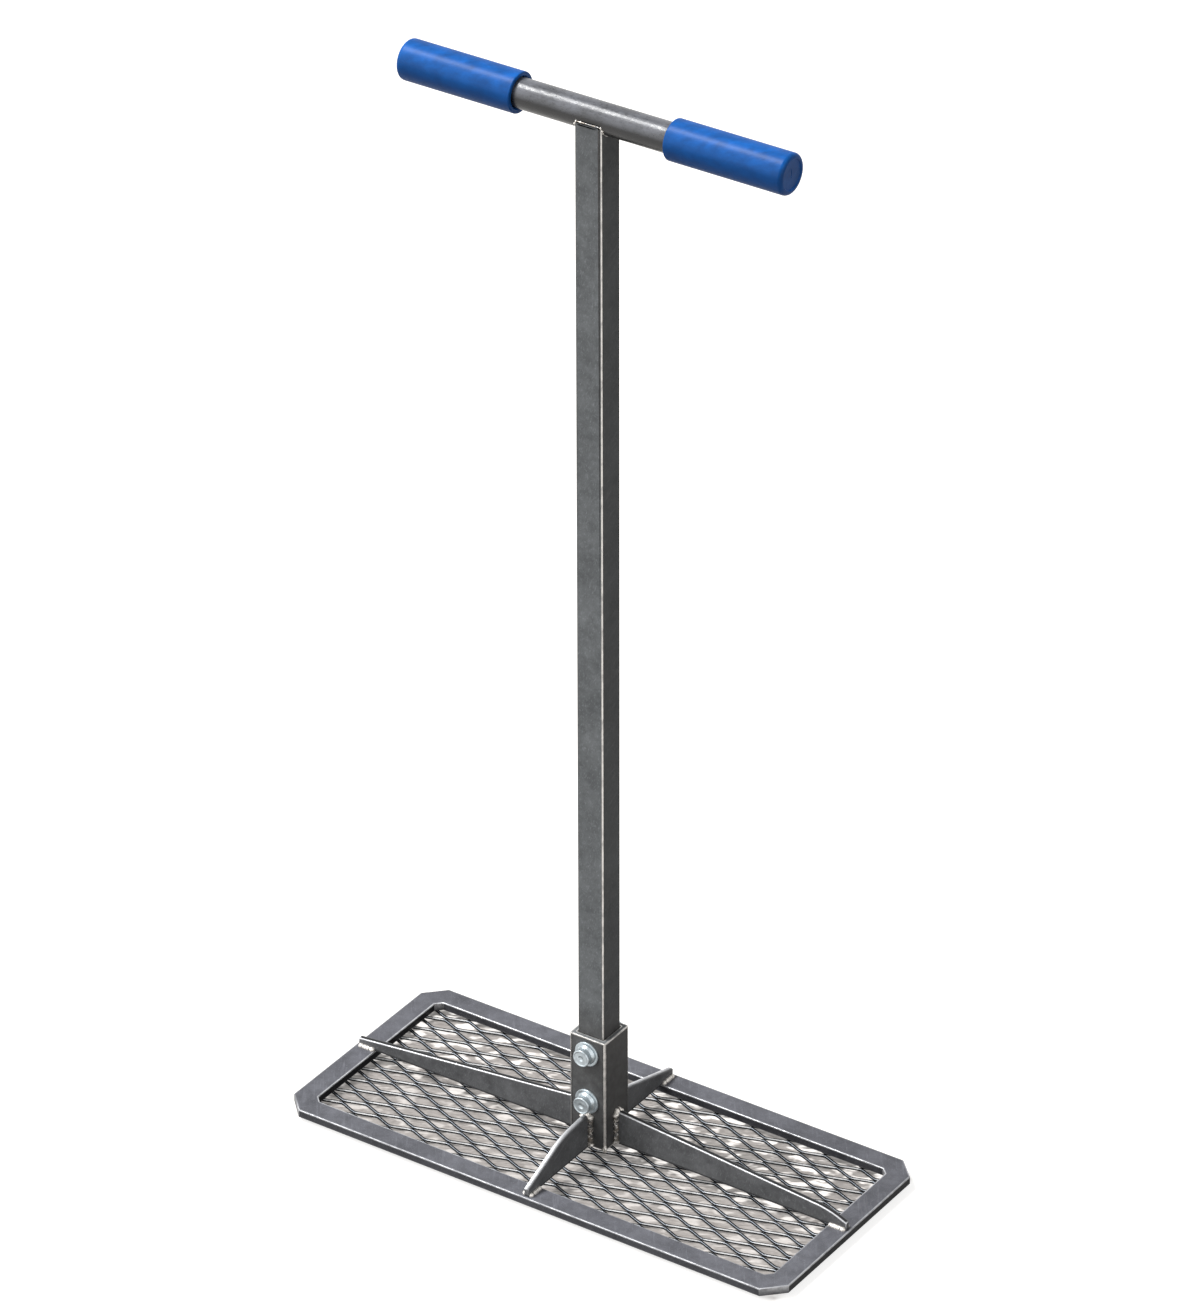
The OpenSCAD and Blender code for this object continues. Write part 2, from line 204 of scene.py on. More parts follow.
def hot_rolled_steel(name, scale_color, bare_color, streak_turn, painted_face_shade, broken, soiled=0.0,
                     painted_foot_shade=0.0):
    """Mild steel as rolled. Its mill scale is a dark satin oxide in clouds 9 and 42 mm across,
    with faint drag marks, and bare bright steel along the edges, rubbed there by handling and,
    on the frame and plates, also painted there as highlight.
    The per-axis shade weights say how much painted shade darkens the faces square to each
    axis, broken how much the rub comes and goes along an edge, soiled how brown concrete has
    left the walls' lowest 15 cm, and the foot shade how much painted shade darkens the plates'
    feet beside the mesh."""
    material, add, place = start_material(name)
    facing = place.node.outputs["Normal"]
    clouds = add(NOISE, {
        "Vector": place, "Scale": per_feature(42), "Detail": 4, "Roughness": 0.62})
    blotches = add(NOISE, {
        "Vector": place, "Scale": per_feature(9), "Detail": 3, "Roughness": 0.6})
    # The oxide's grain is finer than 0.1 mm, and is drawn this coarse so that it shows
    grain = add(NOISE, {"Vector": place, "Scale": per_feature(1.4), "Detail": 2, "Roughness": 0.6})
    drag = add(NOISE, {
        "Vector": add(MAPPING, {
            "Vector": place, "Rotation": streak_turn, "Scale": (1, 12, 1)}, vector_type="TEXTURE"),
        "Scale": per_feature(4), "Detail": 3, "Roughness": 0.7})
    tone = add(MATH, (
        add(MATH, (clouds, 0.62), operation="MULTIPLY"),
        add(MATH, (blotches, 0.38), operation="MULTIPLY")), operation="ADD")
    scale = add(MIX, {
        0: add(RANGE, (tone, 0.34, 0.66)),
        6: rgba(scale_color, 0.68), 7: rgba(scale_color, 1.34)}, data_type="RGBA")
    scratches = add(NOISE, {
        "Vector": add(MAPPING, {
            "Vector": place, "Rotation": (0.3, 0.2, 0.35),
            "Scale": (0.7, 0.7, 16)}, vector_type="TEXTURE"),
        "Scale": per_feature(1.6), "Detail": 2, "Roughness": 0.6})
    # Drag marks and scratches are lighter than the scale, and its grain is darker
    for marks, faint, full, strength, factor in (
            (drag, 0.56, 0.74, 0.4, 2.1), (scratches, 0.59, 0.7, 0.36, 2.4),
            (grain, 0.3, 0.75, 0.22, 0.45)):
        scale = add(MIX, {
            0: add(RANGE, (marks, faint, full, 0, strength)),
            6: scale, 7: rgba(scale_color, factor)}, data_type="RGBA")
    # Painted shade: faces square to each axis are darkened towards black by the per-axis shade
    # weights
    square = add("ShaderNodeVectorMath", {0: facing, 1: facing}, operation="MULTIPLY")
    face_shade_share = add("ShaderNodeVectorMath", {0: square, 1: painted_face_shade}, operation="DOT_PRODUCT")
    scale = add(MIX, {0: face_shade_share, 6: scale, 7: rgba("#000000")}, data_type="RGBA")
    height = add(SPLIT, {0: place}).outputs["Z"]
    film_top, film_full, foot_shade_top, foot_shade_full = 190 * MM, 150 * MM, 17.5 * MM, 15.5 * MM
    film = add(MIX, {
        0: add(RANGE, (blotches, 0.3, 0.7)),
        6: rgba("#484645"), 7: rgba("#5e5d5c")}, data_type="RGBA")
    up = add(SPLIT, {0: facing}).outputs["Z"]
    filmed = add(MATH, (
        add(RANGE, (height, film_top, film_full, 0, soiled)),
        add(RANGE, (up, 0.9, 0.5))), operation="MULTIPLY")
    scale = add(MIX, {0: filmed, 6: scale, 7: film}, data_type="RGBA")
    # Painted shade: the plates' feet, beside the mesh, darken nearly to black
    scale = add(MIX, {
        0: add(RANGE, (height, foot_shade_top, foot_shade_full, 0, painted_foot_shade)),
        6: scale, 7: rgba("#0f0f10")}, data_type="RGBA")
    # The edge mark is wear, and on the frame's and plates' edges also painted highlight
    edge = add("ShaderNodeAttribute", attribute_name="edge_wear_and_highlight").outputs["Fac"]
    rubbed = add(RANGE, (
        add(NOISE, {"Vector": place, "Scale": per_feature(11), "Detail": 4, "Roughness": 0.7}),
        0.36, 0.56, 1 - broken, 1))
    wear = add(MATH, (edge, rubbed), operation="MULTIPLY")
    color = add(MIX, {0: wear, 6: scale, 7: rgba(bare_color)}, data_type="RGBA")
    rough = add(RANGE, (blotches, 0.3, 0.7, 0.46, 0.62))
    rough = add(MATH, (rough, add(MATH, (wear, 0.16), operation="MULTIPLY")), operation="SUBTRACT")
    bump = add("ShaderNodeBump", {
        "Strength": 0.35, "Distance": 0.25 * MM,
        "Height": add(MATH, (
            grain, add(MATH, (blotches, 1.5), operation="MULTIPLY")), operation="ADD")})
    shader = add("ShaderNodeBsdfPrincipled", {
        "Base Color": color, "Roughness": rough, "Normal": bump, "Specular IOR Level": 0.1,
        "Metallic": add(RANGE, (wear, 0, 0.9, 0.05, 0.8))})
    add("ShaderNodeOutputMaterial", {"Surface": shader})
    return material


def expanded_steel(leading_highlight_color, other_highlight_color):
    """Rolled mild sheet, slit and drawn open. The middles of the strands' upper faces carry a
    painted highlight, nearly white on every other strand, and their edges and cut sides keep
    a blue-black scale dark enough to stand as painted shade, so each strand is outlined."""
    material, add, place = start_material("expanded_mild_steel")
    flecks = add(NOISE, {
        "Vector": place, "Scale": per_feature(3.2), "Detail": 3, "Roughness": 0.65})
    smears = add(NOISE, {"Vector": place, "Scale": per_feature(17), "Detail": 2, "Roughness": 0.5})
    # Painted shade: the strands' scale is nearly black, so their edges and cut sides read as
    # shadow
    scale = add(MIX, {
        0: add(RANGE, (flecks, 0.35, 0.65)),
        6: rgba("#090a0d"), 7: rgba("#1a1d22")}, data_type="RGBA")
    up = add(SPLIT, {0: place.node.outputs["Normal"]}).outputs["Z"]
    # The stored mark picks every other strand for the brighter painted highlight
    highlight_strand = add("ShaderNodeAttribute", attribute_name="rubbed").outputs["Fac"]
    across = add(MATH, (
        add("ShaderNodeAttribute", attribute_name="across").outputs["Fac"],), operation="ABSOLUTE")
    reach = add(RANGE, (highlight_strand, 0, 1, 0.3, 0.58))
    margin = add(MATH, (reach, across), operation="SUBTRACT")
    # Painted highlight: the middles of the upward faces turn to the strand colours
    rubbed = add(MATH, (
        add(RANGE, (up, 0.6, 0.74)), add(RANGE, (margin, 0, 0.3))), operation="MULTIPLY")
    rubbed = add(MATH, (rubbed, add(RANGE, (smears, 0.3, 0.6, 0.72, 1))), operation="MULTIPLY")
    bare = add(MIX, {0: highlight_strand, 6: rgba(other_highlight_color), 7: rgba(leading_highlight_color)}, data_type="RGBA")
    surface = add(MIX, {0: rubbed, 6: scale, 7: bare}, data_type="RGBA")
    bump = add("ShaderNodeBump", {"Strength": 0.3, "Distance": 0.15 * MM, "Height": flecks})
    shader = add("ShaderNodeBsdfPrincipled", {
        "Base Color": surface, "Metallic": 0.1, "Normal": bump, "Specular IOR Level": 0.1,
        "Roughness": add(RANGE, (flecks, 0.3, 0.7, 0.4, 0.55))})
    add("ShaderNodeOutputMaterial", {"Surface": shader})
    return material


def drawn_tube(color):
    """Cold drawn steel tube, oiled and handled. Fine draw lines run along it, so its highlight
    is a long streak that breaks up into flecks. Real draw lines are about 0.1 mm wide, and are
    drawn 1.1 mm wide so that they show."""
    material, add, place = start_material("cold_drawn_steel_tube")
    lines = add(NOISE, {
        "Vector": add(MAPPING, {
            "Vector": place, "Scale": (20, 1, 1)}, vector_type="TEXTURE"),
        "Scale": per_feature(1.1), "Detail": 3, "Roughness": 0.65})
    flecks = add(NOISE, {
        "Vector": add(MAPPING, {
            "Vector": place, "Scale": (2.2, 1, 1)}, vector_type="TEXTURE"),
        "Scale": per_feature(2.6), "Detail": 4, "Roughness": 0.7})
    clouds = add(NOISE, {"Vector": place, "Scale": per_feature(30), "Detail": 3, "Roughness": 0.6})
    tone = add(MATH, (
        add(MATH, (clouds, 0.55), operation="MULTIPLY"),
        add(MATH, (flecks, 0.45), operation="MULTIPLY")), operation="ADD")
    surface = add(MIX, {
        0: add(RANGE, (tone, 0.4, 0.61)),
        6: rgba(color, 0.5), 7: rgba(color, 1.45)}, data_type="RGBA")
    surface = add(MIX, {
        0: add(RANGE, (lines, 0.55, 0.8, 0, 0.35)),
        6: surface, 7: rgba(color, 0.45)}, data_type="RGBA")
    # Painted shade: faces that turn less upward darken nearly to black, so the lower half of the
    # bar is dark
    up = add(SPLIT, {0: place.node.outputs["Normal"]}).outputs["Z"]
    surface = add(MIX, {
        0: add(RANGE, (up, 0.55, 0.1, 0, 0.95)), 6: surface, 7: rgba("#161617")}, data_type="RGBA")
    bump = add("ShaderNodeBump", {
        "Strength": 0.5, "Distance": 0.16 * MM,
        "Height": add(MATH, (lines, flecks), operation="ADD")})
    shader = add("ShaderNodeBsdfPrincipled", {
        "Base Color": surface, "Normal": bump, "Specular IOR Level": 0.5,
        "Roughness": add(RANGE, (flecks, 0.35, 0.65, 0.25, 0.4))})
    add("ShaderNodeOutputMaterial", {"Surface": shader})
    return material


def welded_steel(bright, dark):
    """Weld metal. The pools are grey with brown heat tint. The lumps' crests and the beads'
    ends carry painted highlight, broken into painted glints, and the grooves between the
    pools are painted nearly black as shade."""
    material, add, place = start_material("weld_metal_with_painted_light")
    crest = add("ShaderNodeAttribute", attribute_name="crest").outputs["Fac"]
    end_highlight = add("ShaderNodeAttribute", attribute_name="bare").outputs["Fac"]
    heat = add(NOISE, {"Vector": place, "Scale": per_feature(6), "Detail": 3, "Roughness": 0.6})
    flecks = add(NOISE, {
        "Vector": place, "Scale": per_feature(2.6), "Detail": 2, "Roughness": 0.6})
    pool = add(MIX, {
        0: add(RANGE, (heat, 0.4, 0.6)), 6: rgba("#6c6c6c"), 7: rgba("#8b8379")}, data_type="RGBA")
    # Painted shade: the low parts between the lumps turn nearly black
    surface = add(MIX, {
        0: add(RANGE, (crest, 0.25, 0.5)), 6: rgba(dark), 7: pool}, data_type="RGBA")
    # Painted highlight: near the ends and in flecks, the high parts turn to the bright colour
    shine = add(MATH, (end_highlight, add(RANGE, (flecks, 0.54, 0.6))), operation="MAXIMUM")
    shine = add(MATH, (shine, add(RANGE, (crest, 0.3, 0.6))), operation="MULTIPLY")
    surface = add(MIX, {0: shine, 6: surface, 7: rgba(bright)}, data_type="RGBA")
    bump = add("ShaderNodeBump", {"Strength": 0.7, "Distance": 0.5 * MM, "Height": flecks})
    shader = add("ShaderNodeBsdfPrincipled", {
        "Base Color": surface, "Metallic": 0.3, "Normal": bump,
        "Roughness": add(RANGE, (heat, 0.3, 0.7, 0.22, 0.34))})
    add("ShaderNodeOutputMaterial", {"Surface": shader})
    return material


def zinc_plate(color):
    """Bright zinc plate with a blue passivate: a cool, faintly cloudy metal shine. Its grain
    is too fine to show, and is drawn 0.9 mm across."""
    material, add, place = start_material("blue_zinc_plate")
    clouds = add(NOISE, {"Vector": place, "Scale": per_feature(7), "Detail": 3, "Roughness": 0.55})
    fine = add(NOISE, {"Vector": place, "Scale": per_feature(0.9), "Detail": 2, "Roughness": 0.5})
    surface = add(MIX, {
        0: add(RANGE, (clouds, 0.35, 0.65)),
        6: rgba(color, 0.72), 7: rgba(color)}, data_type="RGBA")
    bump = add("ShaderNodeBump", {"Strength": 0.2, "Distance": 0.1 * MM, "Height": fine})
    shader = add("ShaderNodeBsdfPrincipled", {
        "Base Color": surface, "Metallic": 0.7, "Normal": bump,
        "Roughness": add(RANGE, (clouds, 0.3, 0.7, 0.3, 0.4))})
    add("ShaderNodeOutputMaterial", {"Surface": shader})
    return material


def moulded_vinyl(color):
    """Soft moulded vinyl: satin, with painted shade that darkens its lower side, and the slow
    waviness and faint streaks of a thick wall that has shrunk on its core. The mould's grit is
    too fine to show, and is drawn 0.8 mm across."""
    material, add, place = start_material("moulded_vinyl")
    waves = add(NOISE, {
        "Vector": add(MAPPING, {
            "Vector": place, "Scale": (2, 1, 1)}, vector_type="TEXTURE"),
        "Scale": per_feature(26), "Detail": 2, "Roughness": 0.5})
    handled = add(NOISE, {
        "Vector": add(MAPPING, {
            "Vector": place, "Rotation": (0, 0, 0.5), "Scale": (2, 1, 1)}, vector_type="TEXTURE"),
        "Scale": per_feature(12), "Detail": 4, "Roughness": 0.6})
    pebbles = add(NOISE, {
        "Vector": place, "Scale": per_feature(0.8), "Detail": 2, "Roughness": 0.5})
    surface = add(MIX, {
        0: add(RANGE, (handled, 0.35, 0.68)),
        6: rgba(color, 0.74), 7: rgba(color, 1.24)}, data_type="RGBA")
    # Painted shade: faces that turn downward darken to a deeper blue
    up = add(SPLIT, {0: place.node.outputs["Normal"]}).outputs["Z"]
    surface = add(MIX, {
        0: add(RANGE, (up, 0.75, 0.1, 0, 0.6)),
        6: surface, 7: rgba(color, 0.42)}, data_type="RGBA")
    height = add(MATH, (
        add(MATH, (waves, 3.0), operation="MULTIPLY"),
        add(MATH, (pebbles, 0.12), operation="MULTIPLY")), operation="ADD")
    bump = add("ShaderNodeBump", {"Strength": 0.25, "Distance": 0.5 * MM, "Height": height})
    shader = add("ShaderNodeBsdfPrincipled", {
        "Base Color": surface, "Normal": bump, "Specular IOR Level": 0.02, "Roughness": 0.5,
        "Coat Weight": 0.25, "Coat Roughness": 0.37})
    add("ShaderNodeOutputMaterial", {"Surface": shader})
    return material


def material_for(part):
    """The one material of a group of pieces, made the first time it is asked for."""
    colors = bpy.context.scene.tamper.colors
    edge, corner = colors.bare_edge_and_highlight, colors.bare_corner
    # The per-axis weights given below are painted shade on the faces turned to each axis
    makers = {
        "frame": lambda: hot_rolled_steel(
            "hot_rolled_flat_bar", colors.frame_scale, edge, streak_turn=(0, 0, 0.6),
            painted_face_shade=(0.93, 0.45, 0), broken=0.4),
        "plate": lambda: hot_rolled_steel(
            "hot_rolled_plate", colors.plate_scale, edge, streak_turn=(0.5, 0.4, 0.3),
            painted_face_shade=(0.3, 0.2, 0.88), broken=0.2, painted_foot_shade=0.85),
        "tube": lambda: hot_rolled_steel(
            "hot_rolled_square_tube", colors.tube_scale, corner, streak_turn=(0.5, 0.35, 0),
            painted_face_shade=(0.66, 0, 0), broken=0.35, soiled=0.7),
        "mesh": lambda: expanded_steel(colors.leading_strand_highlight, colors.other_strand_highlight),
        "bar": lambda: drawn_tube(colors.bar_steel),
        "bead": lambda: welded_steel(colors.bead_highlight, colors.bead_groove_shade),
        "zinc": lambda: zinc_plate(colors.zinc),
        "grip": lambda: moulded_vinyl(colors.grip),
    }
    if part not in MADE:
        MADE[part] = makers[part]()
    return MADE[part]


# Pieces

def new_piece(name, mesh, node, material):
    """Links a finished mesh as the piece that stands for a CAD node."""
    piece = bpy.data.objects.new(name, mesh)
    bpy.context.collection.objects.link(piece)
    mesh.materials.clear()
    mesh.materials.append(material)
    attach(piece, BODY_OF[node])
    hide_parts(node)
    return piece


def smoothed(bm, name, sharp=math.radians(32)):
    """A mesh of the bmesh with soft shading, whose edges past an angle stay sharp and whose
    wide flats stay flat."""
    for face in bm.faces:
        face.smooth = True
    for edge in bm.edges:
        edge.smooth = not (edge.is_manifold and edge.calc_face_angle(0) > sharp)
    rough = bpy.data.meshes.new(name + "_rough")
    bm.to_mesh(rough)
    bm.free()
    holder = bpy.data.objects.new(name + "_rough", rough)
    bpy.context.collection.objects.link(holder)
    weighted = holder.modifiers.new("weighted", "WEIGHTED_NORMAL")
    weighted.keep_sharp = True
    graph = bpy.context.evaluated_depsgraph_get()
    mesh = bpy.data.meshes.new_from_object(holder.evaluated_get(graph))
    mesh.name = name
    bpy.data.objects.remove(holder)
    bpy.data.meshes.remove(rough)
    return mesh


def merged_copy(node):
    """The CAD node's surface as one joined mesh with its flat faces whole."""
    bm = bmesh.new()
    bm.from_mesh(NODES[node].data)
    bmesh.ops.remove_doubles(bm, verts=bm.verts, dist=0.002 * MM)
    bmesh.ops.dissolve_limit(
        bm, angle_limit=math.radians(0.4), verts=bm.verts, edges=bm.edges, delimit=set())
    return bm


def round_edges(bm, radius, band, worn, rubbed, sharp=math.radians(50), segments=3):
    """Rounds the sharp edges, and marks each point with its share of wear, which on the frame
    and plates is also painted highlight. worn tells it for a rounded edge's face, and rubbed
    for a corner's face that the solid has already. The mark fades out over a band of each
    flat beside them."""
    wear = bm.verts.layers.float.new("edge_wear_and_highlight")
    edges = [e for e in bm.edges if e.is_manifold and e.calc_face_angle(0) > sharp]
    rounded = set(bmesh.ops.bevel(
        bm, geom=edges, offset=radius, offset_type="OFFSET", segments=segments,
        profile=0.5, affect="EDGES", clamp_overlap=False)["faces"])
    amounts = {face: worn(face) for face in rounded}
    amounts.update({face: rubbed(face) for face in bm.faces
                    if face not in rounded and rubbed(face)})
    flats = [face for face in bm.faces if face not in amounts]
    bmesh.ops.inset_region(bm, faces=flats, thickness=band, use_boundary=True,
                           use_even_offset=True)
    for face, amount in amounts.items():
        for vert in face.verts:
            vert[wear] = max(vert[wear], amount)


def ease_bends(bm, radius):
    """Turns a plate's shallow bends into curves."""
    bends = [e for e in bm.edges if e.is_manifold
             and math.radians(6) < e.calc_face_angle(0) < math.radians(50)]
    bmesh.ops.bevel(bm, geom=bends, offset=radius, offset_type="OFFSET", segments=6,
                    profile=0.5, affect="EDGES", clamp_overlap=False)


def steel_piece(node, part, radius, band, worn, rubbed, bend=0):
    """A worn steel copy of one CAD node. bend is how far each of a plate's bends runs."""
    bm = merged_copy(node)
    if bend:
        ease_bends(bm, bend)
    round_edges(bm, radius, band, worn, rubbed)
    name = "steel_" + node
    return new_piece(name, smoothed(bm, name), node, material_for(part))


# Node trees

def start_tree(name, inputs):
    """A geometry node tree with named inputs, what adds a node to it, and those inputs."""
    tree = bpy.data.node_groups.new(name, "GeometryNodeTree")
    for label, kind in inputs:
        tree.interface.new_socket(name=label, in_out="INPUT", socket_type="NodeSocket" + kind)
    tree.interface.new_socket(
        name="Geometry", in_out="OUTPUT", socket_type="NodeSocketGeometry")
    add = adder(tree)
    return tree, add, add("NodeGroupInput").outputs


def grown(name, tree, values, seed_mesh=None):
    """The plain mesh that a node tree makes from its named values."""
    holder = bpy.data.objects.new(name + "_seed", seed_mesh or bpy.data.meshes.new(name))
    bpy.context.collection.objects.link(holder)
    modifier = holder.modifiers.new("grown", "NODES")
    modifier.node_group = tree
    for item in tree.interface.items_tree:
        if item.in_out == "INPUT" and item.name in values:
            modifier[item.identifier] = values[item.name]
    graph = bpy.context.evaluated_depsgraph_get()
    mesh = bpy.data.meshes.new_from_object(holder.evaluated_get(graph))
    mesh.name = name
    bpy.data.objects.remove(holder)
    return mesh


def raised_mesh_tree():
    """Zigzag courses of tilted strands, set side by side so that they meet at the knuckles."""
    tree, add, given = start_tree("raised_expanded_mesh", (
        ("Knuckle", "Vector"), ("Courses", "Int"), ("Diamonds", "Int"),
        ("Diamond Length", "Float"), ("Diamond Width", "Float"),
        ("Strand Width", "Float"), ("Sheet Thickness", "Float"), ("Tilt", "Float"),
        ("Edge Break", "Float"), ("Steps", "Int"), ("Material", "Material")))

    # One course: a run of points whose side swings between the two rows of knuckles
    count = add(MATH, (
        add(MATH, (given["Diamonds"], given["Steps"]), operation="MULTIPLY"), 1), operation="ADD")
    points = add("GeometryNodeMeshLine", {"Count": count})
    index = add("GeometryNodeInputIndex")
    turn = add(MATH, (index, given["Steps"]), operation="DIVIDE")
    x = add(MATH, (turn, given["Diamond Length"]), operation="MULTIPLY")
    in_diamond = add(MATH, (turn,), operation="FRACT")
    swing = add(MATH, (in_diamond, 0.5), operation="SUBTRACT")
    swing = add(MATH, (swing,), operation="ABSOLUTE")
    # The course runs level for a fifteenth of a diamond's length at each knuckle
    side = add(RANGE, (swing, 0.2 / 6, 2.8 / 6, -1.0, 1.0))
    # Every other strand is marked for the brighter painted highlight
    highlight_strand = add(RANGE, (in_diamond, 0.5, 0.6))
    across = add(MATH, (given["Tilt"],), operation="COSINE")
    across = add(MATH, (given["Strand Width"], across), operation="MULTIPLY")
    rise = add(MATH, (given["Tilt"],), operation="SINE")
    rise = add(MATH, (given["Strand Width"], rise), operation="MULTIPLY")
    half_row = add(MATH, (given["Diamond Width"], 0.25), operation="MULTIPLY")
    reach = add(MATH, (
        half_row, add(MATH, (across, 0.5), operation="MULTIPLY")), operation="SUBTRACT")
    path = add("ShaderNodeCombineXYZ", {
        "X": x, "Y": add(MATH, (side, reach), operation="MULTIPLY"),
        "Z": add(MATH, (
            add(MATH, (side, rise), operation="MULTIPLY"), -0.5), operation="MULTIPLY")})
    marked = add("GeometryNodeStoreNamedAttribute", {
        "Geometry": points, "Name": "rubbed", "Value": highlight_strand}, data_type="FLOAT", domain="POINT")
    placed = add("GeometryNodeSetPosition", {"Geometry": marked, "Position": path})
    course = add("GeometryNodeMeshToCurve", {0: placed})

    # The strand's section: the sheet's thickness by the strand's width, with broken corners
    section = add("GeometryNodeCurvePrimitiveQuadrilateral", {
        "Width": given["Strand Width"], "Height": given["Sheet Thickness"]})
    broken = add("GeometryNodeFilletCurve", {
        "Curve": section, "Radius": given["Edge Break"]}, mode="POLY")
    # Where each point lies between the strand's two edges, from -1 to 1
    spot = add(SPLIT, {0: add("GeometryNodeInputPosition")}).outputs["X"]
    half_width = add(MATH, (given["Strand Width"], 0.5), operation="MULTIPLY")
    share = add(MATH, (spot, half_width), operation="DIVIDE")
    edged = add("GeometryNodeStoreNamedAttribute", {
        "Geometry": broken, "Name": "across", "Value": share}, data_type="FLOAT", domain="POINT")
    turned = add("GeometryNodeTransform", {
        "Geometry": edged, "Rotation": add("ShaderNodeCombineXYZ", {"Z": given["Tilt"]})})
    strand = add("GeometryNodeCurveToMesh", {
        "Curve": add("GeometryNodeSetCurveNormal", {"Curve": course}, mode="Z_UP"),
        "Profile Curve": turned, "Fill Caps": True})

    # Copies of it, every other one set on by half a diamond
    rows = add("GeometryNodeMeshLine", {"Count": given["Courses"]})
    odd = add(MATH, (index, 2), operation="MODULO")
    shift_x = add(MATH, (odd, given["Diamond Length"]), operation="MULTIPLY")
    shift_y = add(MATH, (index, given["Diamond Width"]), operation="MULTIPLY")
    shift = add("ShaderNodeCombineXYZ", {
        "X": add(MATH, (shift_x, 0.5), operation="MULTIPLY"),
        "Y": add(MATH, (shift_y, 0.5), operation="MULTIPLY")})
    spread = add("ShaderNodeVectorMath", {0: shift, 1: given["Knuckle"]}, operation="ADD")
    rows_placed = add("GeometryNodeSetPosition", {"Geometry": rows, "Position": spread})
    copies = add("GeometryNodeInstanceOnPoints", {"Points": rows_placed, "Instance": strand})
    real = add("GeometryNodeRealizeInstances", {0: copies})
    dressed = add("GeometryNodeSetMaterial", {"Geometry": real, "Material": given["Material"]})
    add("NodeGroupOutput", {0: dressed})
    return tree


